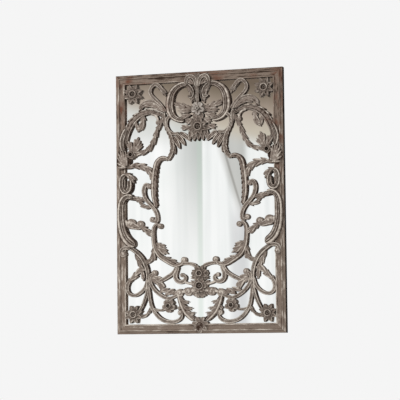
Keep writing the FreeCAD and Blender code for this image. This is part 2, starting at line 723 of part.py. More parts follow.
class Carving:
    """A carving in layers: flat grounds, low ribs on them, high crowns, and round eyes."""

    def __init__(self, low, middle, high):
        self.levels = (low, middle, (middle + high) / 2, high)
        self.grounds = []
        self.ribs = []
        self.crowns = []
        self.eyes = []

    def scroll(self, rows, left="smooth", right="smooth", reeded=False):
        """A band with a narrower raised crown, or with two reeds."""
        self.grounds.append(ribbon(rows, left, right))
        if reeded:
            for sign in (-1, 1):
                self.crowns.append(ribbon(rows, share=reed_share, shift_share=sign * reed_offset_share))
        else:
            self.crowns.append(ribbon(rows, share=crown_share))

    def leaf(self, base, tip, girth, bend_share=0.0):
        """A leaf lobed on both sides, with a low midrib."""
        rows = leaf_rows(base, tip, girth * scroll_width, bend_share)
        self.grounds.append(ribbon(rows, "lobed", "lobed"))
        self.ribs.append(ribbon(rows, share=crown_share))

    def eye(self, row):
        """A round eye."""
        self.eyes.append(row)

    def rosette(self, row, count, pointed=False):
        """A ring of petals that another flower lies on."""
        x, z = place(row)
        radius = row[2] * scroll_width
        gap_share = pointed_gap_share if pointed else petal_gap_share
        petals = petal_ring(x, z, radius * gap_share, radius, count, 0.5, pointed)
        self.grounds.append(petals)
        self.crowns.append(petal_ring(x, z, radius * inner_ring_share * petal_gap_share, radius * inner_ring_share, count))

    def both_sides(self):
        """Repeat every outline on the other side of the centre line."""
        for layer in (self.grounds, self.ribs, self.crowns):
            layer.extend([mirrored(flat) for flat in layer])

    def flats(self):
        """The merged outlines of the grounds, of the ribs beside the crowns, and of the crowns."""
        ground = merged(self.grounds)
        crowns = merged(self.crowns)
        ribs = merged(self.ribs).cut(crowns) if self.ribs else None
        return ground, ribs, crowns

    def domes(self, bottom, top):
        """The round eyes between two heights."""
        low, high = self.levels[0], self.levels[3]
        return [ball(row, low, high) for row in self.eyes if bottom < row[1] * height < top]

    def solid(self):
        """The carving as one solid."""
        low, middle, rib, high = self.levels
        ground, ribs, crowns = self.flats()
        slabs = [raised(ground, low, middle), raised(crowns, middle, high)]
        if ribs:
            slabs.append(raised(ribs, middle, rib))
        return fused(slabs + self.domes(0.0, height))


def carve_upper(carving):
    """Everything carved in the upper part of the right half."""
    carving.scroll(crest_ring_shares, reeded=True)
    carving.scroll(ring_hook_shares)
    carving.scroll(shoulder_shares, left="lobed")
    carving.scroll(loop_shares)
    carving.scroll(curl_upper_shares)
    carving.scroll(curl_lower_shares)
    carving.scroll(arch_shares, left="lobed")
    carving.scroll(arch_return_shares)
    carving.scroll(descent_shares, "lobed", "lobed")
    for row in upper_leaf_shares:
        carving.leaf(*row)
    for row in upper_ball_shares:
        carving.eye(row)
    for row in heart_shares:
        carving.rosette(row, heart_petals)
    half_stem, low_share, high_share = stem_shares
    stem = rectangle(0.0, half_stem * half_width, low_share * height, high_share * height)
    carving.grounds.append(stem)
    carving.crowns.append(stem)


def carve_middle(carving):
    """Everything carved in the middle of the right half."""
    carving.scroll(branch_shares, "lobed", "lobed")
    carving.scroll(oval_band_shares, right="lobed")
    carving.scroll(s_scroll_shares)
    carving.scroll(link_shares)
    carving.scroll(arm_collar_shares)
    carving.scroll(arm_shares)
    carving.scroll(arm_leaf_shares, "lobed", "lobed")
    low_x, high_x, level_share, neck_share = scroll_neck_shares
    half_neck = neck_share * scroll_width / 2
    z = level_share * height
    carving.grounds.append(rectangle(low_x * half_width, high_x * half_width, z - half_neck, z + half_neck))
    for row in middle_leaf_shares:
        carving.leaf(*row)
    for row in middle_ball_shares:
        carving.eye(row)


def carve_lower(carving):
    """Everything carved in the lower part of the right half."""
    carving.scroll(lower_oval_shares)
    carving.scroll(spur_shares, "lobed", "lobed")
    carving.scroll(base_link_shares)
    carving.scroll(diagonal_shares)
    carving.scroll(volute_shares)
    carving.scroll(volute_link_shares)
    carving.scroll(main_scroll_shares, reeded=True)
    carving.scroll(sweep_shares)
    carving.scroll(corner_loop_shares)
    carving.scroll(festoon_shares)
    carving.scroll(bud_link_shares)
    carving.scroll(drop_leaf_shares, "lobed", "lobed")
    carving.scroll(spray_shares)
    carving.scroll(spray_link_shares)
    carving.scroll(corner_leaf_shares, "lobed", "lobed")
    for row in lower_leaf_shares:
        carving.leaf(*row)
    for row in lower_ball_shares:
        carving.eye(row)
    for row in base_cluster_shares:
        carving.rosette(row, base_petals, True)
    carving.rosette(spray_flower_shares, side_petals)


def border():
    """The strip round the right half of the openwork that lies in the frame's rebate."""
    low = glass_wall + edge_clearance
    outer = half_width - low
    return [
        rectangle(sight_x, outer, low, height - low),
        rectangle(0.0, outer, low, rail_width),
        rectangle(0.0, outer, height - rail_width, height - low),
    ]


def openwork():
    """The right half of the openwork, trimmed to the opening, as three boards from the bottom up."""
    carving = Carving(board_level, scroll_level, front_level)
    carve_upper(carving)
    carve_middle(carving)
    carve_lower(carving)
    for row in corner_flowers():
        carving.rosette(row, corner_petals, True)
    carving.rosette(side_flower_shares, side_petals)
    ground, ribs, crowns = carving.flats()
    backing = merged(carving.grounds + border())
    rib_level = carving.levels[2]
    clear = rail_width + opening_clearance
    low = glass_wall + edge_clearance
    cuts = [0.0, lower_joint_share * height, upper_joint_share * height, height]
    boards = []
    for i in range(3):
        bottom = cuts[i] + joint_gap / 2
        top = cuts[i + 1] - joint_gap / 2
        window = rectangle(joint_gap / 2, half_width - clear, max(bottom, clear), min(top, height - clear))
        tucked = rectangle(joint_gap / 2, half_width - low, max(bottom, low), min(top, height - low))
        slabs = [
            raised(backing.common(tucked).cut(window), board_level, lip_level),
            raised(ground.common(window), board_level, scroll_level),
            raised(ribs.common(window), scroll_level, rib_level),
            raised(crowns.common(window), scroll_level, front_level),
        ]
        boards.append(fused(slabs + carving.domes(bottom, top)))
    return boards


def cleared(shape, row):
    """A carving with round room in it for a flower."""
    x, z = place(row)
    room = row[2] * scroll_width + carving_clearance
    depth = flower_level - front_level
    return shape.cut(Part.makeCylinder(room, depth, at(x, z, front_level), FreeCAD.Vector(0, -1, 0)))


def cleared_of_bracket(shape):
    """A carving that stops short of the bracket scroll."""
    return shape.cut(raised(ribbon(bracket_shares, share=bracket_room_share), front_level, applied_level))


def applied_carving():
    """An empty carving for the front of the boards and rails."""
    return Carving(front_level, front_level + applied_thickness / 2, applied_level)


def side_shell():
    """The shell of leaves over the right stile, with the tail of the arch."""
    carving = applied_carving()
    carving.scroll(arch_tail_shares)
    for row in shell_leaf_shares:
        carving.leaf(*row)
    return cleared(carving.solid(), side_flower_shares)


def side_ring():
    """The ring over the inner edge of the right stile."""
    carving = applied_carving()
    carving.scroll(side_ring_shares)
    for row in ring_leaf_shares:
        carving.leaf(*row)
    return cleared_of_bracket(carving.solid())


def side_bracket():
    """The reeded bracket scroll over the right stile."""
    carving = applied_carving()
    carving.scroll(bracket_shares, reeded=True)
    return carving.solid()


def side_eye():
    """The eye of the lower scroll, over the right stile."""
    carving = applied_carving()
    carving.scroll(eye_scroll_shares)
    carving.eye(eye_shares)
    return cleared_of_bracket(carving.solid())


def crest_finial():
    """The stem of the crest and its fleur, up over the top rail."""
    carving = applied_carving()
    carving.scroll(fleur_shares)
    for row in fleur_leaf_shares:
        carving.leaf(*row)
    carving.both_sides()
    half_stem, low_share, high_share = stem_shares
    stem = rectangle(-half_stem * half_width, half_stem * half_width, low_share * height, high_share * height)
    carving.grounds.append(stem)
    carving.crowns.append(stem)
    return cleared(carving.solid(), crest_flower_shares)


def raised_flower(row, count, pointed=False):
    """A flower on the front at a place given in shares."""
    x, z = place(row)
    return flower(x, z, row[2] * scroll_width, count, front_level, flower_level, pointed)


def bottom_boss():
    """The oval boss with its petals over the bottom rail."""
    carving = applied_carving()
    carving.rosette(boss_petal_shares, boss_petals)
    carving.eye(boss_eye_shares)
    return carving.solid()


def build():
    """Every piece of the mirror, by name."""
    pieces = {}
    right_stile = stile()
    bottom = bottom_rail()
    frame = {
        "right_stile": right_stile,
        "left_stile": mirrored(right_stile),
        "bottom_rail": bottom,
        "top_rail": turned_over(bottom),
    }
    holes = dowels(dowel_radius + dowel_clearance, dowel_length + 2 * dowel_clearance)
    for x, z in backboard_screw_places():
        holes.append(screw_hole(x, z, back_recess))
    for x, z in hanger_screw_places():
        holes.append(screw_hole(x, z, -plate_thickness))
    for name, rail in frame.items():
        pieces[name] = rail.cut(holes).removeSplitter()
    pieces["mitre_dowels"] = Part.makeCompound(dowels(dowel_radius, dowel_length))

    side = half_width - glass_wall - edge_clearance
    low = glass_wall + edge_clearance
    pieces["backing_felt"] = block(-side, side, low, height - low, felt_level, glass_level)
    pieces["mirror_glass"] = block(-side, side, low, height - low, glass_level, board_level)
    side = half_width - board_wall - edge_clearance
    low = board_wall + edge_clearance
    board = block(-side, side, low, height - low, back_recess, felt_level)
    pieces["backboard"] = board.cut([screw_hole(x, z, back_recess) for x, z in backboard_screw_places()])
    pieces["backboard_screws"] = Part.makeCompound([screw(x, z, back_recess) for x, z in backboard_screw_places()])

    pieces["right_hanger_plate"] = hanger_plate()
    pieces["left_hanger_plate"] = mirrored(pieces["right_hanger_plate"])
    pieces["right_hanger_ring"] = hanger_ring()
    pieces["left_hanger_ring"] = mirrored(pieces["right_hanger_ring"])
    pieces["hanger_screws"] = Part.makeCompound([screw(x, z, -plate_thickness) for x, z in hanger_screw_places()])
    pieces["wall_bumpers"] = Part.makeCompound(bumpers())

    for name, board in zip(("lower", "middle", "upper"), openwork()):
        pieces["right_" + name + "_openwork"] = board
        pieces["left_" + name + "_openwork"] = mirrored(board)

    top_corner, bottom_corner = corner_flowers()
    sides = {
        "side_shell": side_shell(),
        "side_ring": side_ring(),
        "side_bracket": side_bracket(),
        "side_eye": side_eye(),
        "side_flower": raised_flower(side_flower_shares, side_petals),
        "spray_flower": raised_flower(spray_flower_shares, side_petals),
        "top_corner_flower": raised_flower(top_corner, corner_petals, True),
        "bottom_corner_flower": raised_flower(bottom_corner, corner_petals, True),
    }
    for name, shape in sides.items():
        pieces["right_" + name] = shape
        pieces["left_" + name] = mirrored(shape)

    pieces["crest_finial"] = crest_finial()
    pieces["crest_flower"] = raised_flower(crest_flower_shares, side_petals)
    pieces["crest_rosette"] = raised_flower(crest_rosette_shares, corner_petals, True)
    pieces["upper_base_flower"] = raised_flower(base_flower_shares[0], corner_petals, True)
    lower_flower = raised_flower(base_flower_shares[1], base_petals)
    pieces["lower_base_flower"] = cleared(lower_flower, base_flower_shares[0])
    pieces["bottom_boss"] = bottom_boss()
    return pieces


def main():
    """Write one file for each named piece."""
    os.makedirs("parts", exist_ok=True)
    for name, shape in build().items():
        shape.exportStep("parts/" + name + ".step")


main()
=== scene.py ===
import math

import bpy
import numpy as np
from mathutils import Matrix, Vector


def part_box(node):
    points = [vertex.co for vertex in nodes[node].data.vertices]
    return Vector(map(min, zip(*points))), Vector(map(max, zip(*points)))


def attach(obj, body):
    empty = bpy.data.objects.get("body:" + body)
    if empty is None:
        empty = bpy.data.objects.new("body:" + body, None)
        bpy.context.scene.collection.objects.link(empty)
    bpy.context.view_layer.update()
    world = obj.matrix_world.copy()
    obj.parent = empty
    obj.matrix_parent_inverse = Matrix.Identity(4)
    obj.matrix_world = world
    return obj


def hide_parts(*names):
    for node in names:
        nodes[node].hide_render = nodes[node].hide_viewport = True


# Carved wall mirror, dressed over its solids.
# Metres. X is to the right, Z is up, the front faces -Y.
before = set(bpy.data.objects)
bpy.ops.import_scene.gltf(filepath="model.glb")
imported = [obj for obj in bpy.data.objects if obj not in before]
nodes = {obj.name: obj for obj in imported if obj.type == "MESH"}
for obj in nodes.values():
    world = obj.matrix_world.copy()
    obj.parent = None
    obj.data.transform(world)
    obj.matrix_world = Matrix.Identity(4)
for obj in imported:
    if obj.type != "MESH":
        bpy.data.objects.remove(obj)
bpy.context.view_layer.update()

# Sizes and levels read from the solids
stile_low, stile_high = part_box("right_stile")
half_width = stile_high[0]
height = stile_high[2]
back_y = stile_high[1]
front_y = stile_low[1]
sight_x = stile_low[0]
rail_width = half_width - sight_x
rail_depth = back_y - front_y
glass_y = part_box("mirror_glass")[0][1]
glass_wall = half_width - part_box("mirror_glass")[1][0]
board_wall = half_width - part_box("backboard")[1][0]
glass_share = (back_y - glass_y) / rail_depth
felt_share = (back_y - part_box("backboard")[0][1]) / rail_depth
crown_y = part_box("right_upper_openwork")[0][1]
applied_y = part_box("right_side_shell")[0][1]
flower_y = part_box("crest_flower")[0][1]

# Carving: widths follow the scroll width, and strokes stand between the glass and the crown
scroll_width = half_width * 0.05
foot_gap = 0.0006
foot_y = glass_y - foot_gap
sink = 0.003
flower_foot_y = crown_y + sink
shoulder_share = 0.64
along_step = 0.0026
half_count = 9
least_round_share = 0.02
carving_sharp_degrees = 58
rail_sharp_degrees = 50

# Unevenness of hand carving: its height, and its slow and quick turns per metre across and up
waver = 0.0004
slow_turns = (173.0, 149.0)
quick_turns = (421.0, 367.0)

# Lobes along an edge: pitches in metres, and depths as shares of the half width.
# Lean and reach are shares of the pitch, swell and close are powers, and the peak brings crests to 1.
lobe_pitches = {"leaf": 0.035, "claw": 0.036, "arch": 0.032}
lobe_depth_shares = {"leaf": 0.62, "claw": 0.80, "arch": 0.42}
plain_pitch = 0.022
plain_depth_share = 0.34
lobe_lean_share = 0.7
lobe_reach_share = 0.38
lobe_swell = 0.55
lobe_close = 8
lobe_peak = 0.775
notch_share = 0.7
leaf_girth_shares = (0.55, 0.95, 1.00, 0.75, 0.18)
tip_fade_share = 0.45

# Paleness, from 0 in a groove to 1 on a worn ridge, and below 0 on the frame's outer sides, which carry
# near-black painted shade
wall_tone = 0.12
painted_side_shade_tone = -1.0
tone_power = 1.5

# Flowers and round ends
ring_girth_share = 0.08
petal_gap_share = 0.84
petal_bow_share = 0.18
knob_turns = 1.25
side_petals = 5
base_petals = 6
boss_petals = 7
corner_petals = 8
heart_petals = 9

# Rings of petals: inner and outer radius, low and high level, and turn as a share of a petal
bed_petal_shares = (0.10, 1.00, 0.45, 0.92, 0.5)
spray_petal_shares = (0.10, 1.00, 0.40, 0.90, 0.5)
corner_petal_shares = (0.15, 0.97, 0.35, 0.95, 0.5)
boss_ring_petal_shares = (0.20, 1.00, 0.20, 0.90, 0.5)

# Sections of beads: the level between them, and each bead's centre, half width and height across the stroke
bead_shares = {
    "rims": (0.40, [(-0.66, 0.30, 1.00), (0.00, 0.34, 0.70), (0.66, 0.30, 1.00)]),
    "band": (0.25, [(-0.64, 0.24, 0.90), (-0.14, 0.16, 0.90), (0.50, 0.38, 1.00)]),
    "ridge": (0.35, [(-0.38, 0.42, 0.62), (0.45, 0.36, 1.00)]),
}
bead_shares["claw"] = bead_shares["ridge"]

# Scrolls of the right half, each a list of places and widths.
# A place is a share of the half width from the centre line and a share of the height from the bottom.
# A width is a share of the scroll width.
crest_ring_shares = [
    (0.122, 0.909, 0.55), (0.084, 0.902, 0.65), (0.062, 0.917, 0.75), (0.082, 0.938, 0.85),
    (0.147, 0.953, 1.10), (0.230, 0.948, 1.45), (0.302, 0.927, 1.75), (0.338, 0.892, 2.00),
    (0.338, 0.858, 1.95), (0.303, 0.832, 1.60), (0.243, 0.818, 1.25), (0.170, 0.813, 1.00),
]
ring_hook_shares = [
    (0.305, 0.835, 0.70), (0.358, 0.829, 0.80), (0.385, 0.812, 0.75), (0.375, 0.790, 0.70),
    (0.343, 0.773, 0.75), (0.295, 0.764, 0.75), (0.235, 0.768, 0.60),
]
shoulder_shares = [
    (0.425, 0.848, 1.00), (0.410, 0.825, 0.90), (0.395, 0.796, 0.85), (0.352, 0.766, 1.00),
    (0.322, 0.738, 1.10), (0.316, 0.708, 1.10), (0.338, 0.683, 1.05), (0.380, 0.664, 1.00),
]
loop_shares = [
    (0.395, 0.850, 0.90), (0.470, 0.885, 0.85), (0.538, 0.908, 0.80), (0.578, 0.930, 0.80),
    (0.558, 0.950, 0.80), (0.513, 0.959, 0.90), (0.472, 0.953, 1.00), (0.435, 0.938, 0.90),
    (0.400, 0.922, 0.35),
]
curl_upper_shares = [
    (0.425, 0.855, 0.80), (0.500, 0.885, 0.70), (0.588, 0.895, 0.80), (0.655, 0.890, 0.75),
    (0.700, 0.875, 0.35),
]
curl_lower_shares = [
    (0.430, 0.850, 0.80), (0.513, 0.872, 1.20), (0.590, 0.881, 1.50), (0.665, 0.880, 1.40),
    (0.712, 0.866, 0.70),
]
arch_shares = [
    (0.420, 0.835, 0.90), (0.490, 0.846, 0.95), (0.555, 0.853, 1.20), (0.635, 0.853, 1.50),
    (0.725, 0.842, 1.80), (0.800, 0.820, 1.90), (0.850, 0.792, 1.80), (0.880, 0.760, 1.50),
    (0.890, 0.732, 1.10),
]
arch_return_shares = [
    (0.575, 0.846, 0.60), (0.520, 0.840, 0.60), (0.490, 0.826, 0.60), (0.485, 0.812, 0.60),
]
descent_shares = [
    (0.425, 0.835, 0.90), (0.450, 0.810, 0.95), (0.488, 0.788, 1.05), (0.513, 0.767, 1.15),
    (0.533, 0.748, 1.20), (0.560, 0.730, 1.20), (0.600, 0.712, 1.25), (0.660, 0.700, 1.20),
    (0.730, 0.694, 1.10), (0.800, 0.690, 1.00),
]
branch_shares = [
    (0.885, 0.636, 0.80), (0.800, 0.646, 1.45), (0.725, 0.645, 1.85), (0.650, 0.638, 1.80),
    (0.600, 0.624, 1.50), (0.572, 0.606, 1.15), (0.560, 0.590, 0.80),
]
oval_band_shares = [
    (0.370, 0.666, 1.00), (0.435, 0.671, 1.20), (0.493, 0.658, 1.40), (0.518, 0.633, 1.50),
    (0.533, 0.600, 1.50), (0.540, 0.567, 1.50), (0.540, 0.533, 1.40), (0.530, 0.508, 1.20),
    (0.518, 0.486, 0.90),
]
s_scroll_shares = [
    (0.600, 0.566, 0.80), (0.635, 0.572, 0.95), (0.660, 0.560, 1.05), (0.663, 0.538, 1.00),
    (0.640, 0.517, 0.95), (0.600, 0.500, 0.90), (0.555, 0.483, 0.95), (0.520, 0.465, 0.95),
    (0.505, 0.446, 0.90), (0.515, 0.429, 0.90), (0.545, 0.428, 0.70),
]
link_shares = [
    (0.610, 0.503, 0.80), (0.645, 0.512, 0.75), (0.690, 0.517, 1.00), (0.750, 0.520, 1.15),
    (0.905, 0.526, 0.90),
]
arm_collar_shares = [(0.905, 0.424, 2.40), (0.882, 0.425, 2.30), (0.858, 0.426, 1.80)]
arm_shares = [(0.880, 0.424, 1.60), (0.825, 0.420, 2.00), (0.765, 0.411, 1.30), (0.700, 0.409, 1.00)]
arm_leaf_shares = [(0.715, 0.415, 1.10), (0.680, 0.407, 1.55), (0.635, 0.395, 1.55), (0.570, 0.378, 0.90)]
lower_oval_shares = [
    (0.473, 0.413, 0.60), (0.515, 0.417, 0.80), (0.546, 0.404, 0.90), (0.555, 0.379, 0.95),
    (0.550, 0.354, 1.00), (0.538, 0.333, 1.10), (0.513, 0.313, 1.15), (0.475, 0.296, 1.15),
    (0.413, 0.281, 1.10), (0.350, 0.268, 1.05), (0.288, 0.260, 0.95), (0.228, 0.264, 0.80),
    (0.190, 0.276, 0.60),
]
spur_shares = [
    (0.545, 0.335, 1.00), (0.556, 0.308, 1.40), (0.568, 0.290, 1.40), (0.605, 0.280, 1.10),
    (0.665, 0.275, 0.80),
]
base_link_shares = [
    (0.280, 0.262, 0.80), (0.200, 0.266, 0.75), (0.120, 0.265, 0.75), (0.040, 0.255, 0.90),
]
diagonal_shares = [
    (0.270, 0.258, 0.85), (0.313, 0.234, 0.90), (0.375, 0.218, 0.95), (0.438, 0.207, 0.90),
    (0.500, 0.197, 0.70),
]
volute_shares = [
    (0.255, 0.256, 0.85), (0.282, 0.234, 1.00), (0.292, 0.217, 1.10), (0.275, 0.203, 1.05),
    (0.234, 0.196, 1.00), (0.190, 0.200, 0.90), (0.172, 0.213, 0.80), (0.205, 0.223, 0.70),
]
volute_link_shares = [(0.190, 0.198, 0.60), (0.130, 0.190, 0.55), (0.070, 0.187, 0.60)]
main_scroll_shares = [
    (0.905, 0.325, 0.80), (0.863, 0.331, 0.90), (0.800, 0.323, 1.00), (0.738, 0.307, 1.10),
    (0.688, 0.288, 1.10), (0.655, 0.267, 1.10), (0.630, 0.242, 1.05), (0.620, 0.213, 1.00),
    (0.623, 0.188, 1.00), (0.633, 0.163, 0.90), (0.660, 0.132, 0.85), (0.693, 0.107, 0.80),
    (0.735, 0.084, 0.75),
]
sweep_shares = [
    (0.620, 0.185, 0.80), (0.608, 0.150, 0.80), (0.597, 0.125, 0.80), (0.578, 0.102, 0.85),
    (0.543, 0.082, 0.85), (0.493, 0.063, 0.90), (0.420, 0.049, 0.90), (0.350, 0.045, 0.90),
    (0.275, 0.049, 0.85), (0.225, 0.063, 0.75), (0.215, 0.077, 0.55),
]
corner_loop_shares = [
    (0.630, 0.210, 0.75), (0.665, 0.175, 0.80), (0.725, 0.156, 0.80), (0.795, 0.148, 0.80),
    (0.850, 0.155, 0.80), (0.875, 0.172, 0.90), (0.870, 0.190, 1.00), (0.845, 0.203, 0.80),
]
loop_leaf_shares = [
    (0.875, 0.188, 0.80), (0.840, 0.205, 1.30), (0.800, 0.217, 1.40), (0.755, 0.233, 1.50),
    (0.715, 0.243, 1.20), (0.670, 0.245, 0.60),
]
fringe_shares = [
    (0.785, 0.307, 0.70), (0.748, 0.287, 1.25), (0.717, 0.264, 1.30), (0.692, 0.237, 1.15),
    (0.680, 0.209, 0.60),
]
festoon_shares = [
    (0.550, 0.231, 0.60), (0.592, 0.222, 0.80), (0.595, 0.200, 0.85), (0.565, 0.177, 0.85),
    (0.513, 0.158, 0.85), (0.450, 0.143, 0.85), (0.390, 0.135, 0.80), (0.330, 0.138, 0.75),
    (0.250, 0.150, 0.70),
]
bud_link_shares = [(0.260, 0.152, 0.80), (0.190, 0.160, 0.75), (0.120, 0.161, 0.75), (0.050, 0.163, 0.80)]
drop_leaf_shares = [
    (0.250, 0.150, 1.10), (0.230, 0.126, 1.45), (0.203, 0.104, 1.60), (0.168, 0.083, 1.60),
    (0.125, 0.067, 1.45), (0.070, 0.050, 1.10),
]
spray_shares = [(0.590, 0.098, 0.60), (0.500, 0.090, 0.60), (0.450, 0.091, 0.60), (0.390, 0.100, 0.60)]
spray_link_shares = [(0.370, 0.106, 0.60), (0.352, 0.120, 0.60), (0.335, 0.136, 0.60)]
corner_leaf_shares = [
    (0.592, 0.106, 0.60), (0.620, 0.083, 0.80), (0.660, 0.072, 0.85), (0.730, 0.072, 0.80),
]

# Leaves: base place, tip place, width as a share of the scroll width, and any bend as a share of the length
upper_leaf_shares = [
    ((0.150, 0.950), (0.075, 0.885), 1.10, 0.12), ((0.515, 0.958), (0.398, 0.916), 1.35, 0.10),
    ((0.060, 0.858), (0.283, 0.882), 1.80, 0.05), ((0.080, 0.848), (0.225, 0.852), 1.40),
    ((0.080, 0.835), (0.200, 0.828), 1.50), ((0.060, 0.820), (0.140, 0.808), 1.60),
    ((0.090, 0.790), (0.195, 0.786), 1.50), ((0.685, 0.850), (0.726, 0.783), 1.60, 0.14),
    ((0.752, 0.824), (0.722, 0.786), 1.00, -0.10), ((0.785, 0.695), (0.735, 0.752), 1.90),
    ((0.770, 0.697), (0.698, 0.728), 1.30), ((0.805, 0.697), (0.848, 0.739), 1.70),
]
stem_leaf_shares = [((0.040, 0.955), (0.050, 0.885), 1.20)]
upper_petal_shares = [
    ((0.000, 0.785), (0.000, 0.733), 1.00), ((0.040, 0.785), (0.055, 0.733), 1.05),
    ((0.080, 0.785), (0.112, 0.734), 1.05), ((0.225, 0.768), (0.098, 0.733), 1.10, 0.05),
    ((0.270, 0.762), (0.163, 0.717), 1.15, 0.05), ((0.310, 0.755), (0.225, 0.705), 1.15, 0.05),
    ((0.335, 0.735), (0.285, 0.685), 1.05, 0.05),
]
middle_leaf_shares = [((0.565, 0.486), (0.708, 0.498), 1.15, 0.10), ((0.790, 0.521), (0.690, 0.506), 1.10)]
lower_leaf_shares = [
    ((0.545, 0.338), (0.394, 0.307), 1.70), ((0.535, 0.348), (0.426, 0.331), 1.25),
    ((0.500, 0.296), (0.286, 0.272), 1.45), ((0.600, 0.208), (0.440, 0.166), 1.70, 0.15),
    ((0.600, 0.218), (0.470, 0.202), 1.40, 0.10), ((0.500, 0.156), (0.372, 0.164), 1.30, 0.10),
    ((0.425, 0.144), (0.305, 0.160), 1.60, 0.10), ((0.330, 0.146), (0.215, 0.160), 1.40, 0.10),
    ((0.225, 0.158), (0.085, 0.164), 1.40, 0.05), ((0.020, 0.204), (0.092, 0.214), 1.10),
    ((0.020, 0.190), (0.104, 0.194), 1.20), ((0.020, 0.176), (0.086, 0.175), 1.10),
    ((0.020, 0.168), (0.080, 0.150), 1.40), ((0.010, 0.160), (0.032, 0.142), 1.40),
    ((0.240, 0.137), (0.148, 0.120), 1.00, -0.15), ((0.212, 0.114), (0.106, 0.096), 1.00, -0.15),
    ((0.175, 0.091), (0.078, 0.078), 0.95, -0.15), ((0.205, 0.116), (0.262, 0.097), 0.90, 0.10),
]

# Round ends and eyes: place and radius as a share of the scroll width
middle_ball_shares = [
    (0.600, 0.566, 0.65), (0.564, 0.437, 0.66), (0.470, 0.411, 0.65), (0.712, 0.420, 0.90),
    (0.825, 0.423, 1.20),
]
upper_ball_shares = [(0.485, 0.811, 0.60), (0.720, 0.789, 0.50)]
lower_ball_shares = [
    (0.188, 0.279, 0.75), (0.212, 0.222, 0.50), (0.237, 0.080, 0.65), (0.545, 0.232, 0.70),
    (0.245, 0.154, 0.90), (0.138, 0.159, 1.00),
]

# Applied carvings over the rails and stiles
arch_tail_shares = [
    (0.868, 0.790, 1.00), (0.905, 0.765, 1.30), (0.925, 0.735, 1.30), (0.905, 0.705, 1.10),
]
shell_leaf_shares = [
    ((0.878, 0.645), (0.915, 0.712), 0.80), ((0.885, 0.643), (0.950, 0.717), 0.80),
    ((0.885, 0.641), (0.978, 0.704), 0.80), ((0.882, 0.640), (0.986, 0.683), 0.80),
    ((0.875, 0.640), (0.987, 0.661), 0.75), ((0.865, 0.641), (0.982, 0.641), 0.70),
    ((0.860, 0.645), (0.880, 0.706), 0.80),
]
shell_bed_shares = [
    ((0.875, 0.642), (0.915, 0.705), 3.0), ((0.880, 0.641), (0.970, 0.690), 3.0),
    ((0.875, 0.642), (0.975, 0.655), 2.2),
]
ring_leaf_shares = [((0.900, 0.618), (0.790, 0.586), 1.60, 0.12)]
side_ring_shares = [
    (0.880, 0.613, 1.05), (0.915, 0.606, 1.20), (0.935, 0.585, 1.25), (0.928, 0.560, 1.25),
    (0.893, 0.546, 1.20), (0.852, 0.551, 1.30), (0.832, 0.570, 1.40), (0.834, 0.592, 1.30),
]
bracket_shares = [
    (0.800, 0.526, 1.20), (0.860, 0.529, 1.25), (0.910, 0.519, 1.45), (0.940, 0.492, 1.70),
    (0.945, 0.458, 1.85), (0.940, 0.424, 1.95), (0.920, 0.393, 2.10), (0.880, 0.366, 2.20),
    (0.825, 0.348, 2.20), (0.775, 0.338, 2.05),
]
eye_scroll_shares = [
    (0.945, 0.310, 0.80), (0.930, 0.325, 0.85), (0.885, 0.331, 0.90), (0.835, 0.329, 0.90),
]
eye_shares = (0.918, 0.307, 0.75)
fleur_shares = [
    (0.010, 0.940, 0.80), (0.022, 0.962, 0.90), (0.060, 0.980, 1.00), (0.110, 0.980, 1.00),
    (0.138, 0.962, 0.80), (0.146, 0.946, 0.50),
]
fleur_leaf_shares = [
    ((0.020, 0.972), (0.128, 0.988), 1.00), ((0.030, 0.948), (0.112, 0.968), 1.30),
    ((0.005, 0.955), (0.018, 0.989), 0.90),
]
stem_shares = (0.868, 0.930, 0.985)
finial_stem_shares = (0.880, 0.930, 0.985)
stem_girth = 0.7

# Flowers: place and radius as a share of the scroll width
corner_flower_shares = ((0.785, 0.925, 2.40), (0.795, 0.075, 2.20))
side_flower_shares = (0.812, 0.690, 1.05)
spray_flower_shares = (0.372, 0.106, 1.55)
crest_flower_shares = (0.000, 0.857, 1.55)
crest_rosette_shares = (0.000, 0.788, 2.15)
base_flower_shares = ((0.000, 0.228, 1.90), (0.000, 0.181, 1.60))
boss_petal_shares = (0.000, 0.034, 1.90)
boss_ring_shares = (0.000, 0.027, 1.20)
boss_dish_shares = (0.000, 0.027, 1.00)
boss_beads = 14
heart_shares = ((0.000, 0.790, 3.00), (0.000, 0.853, 1.90))
base_cluster_shares = ((0.000, 0.228, 2.10), (0.000, 0.186, 1.90), (0.000, 0.160, 1.60))

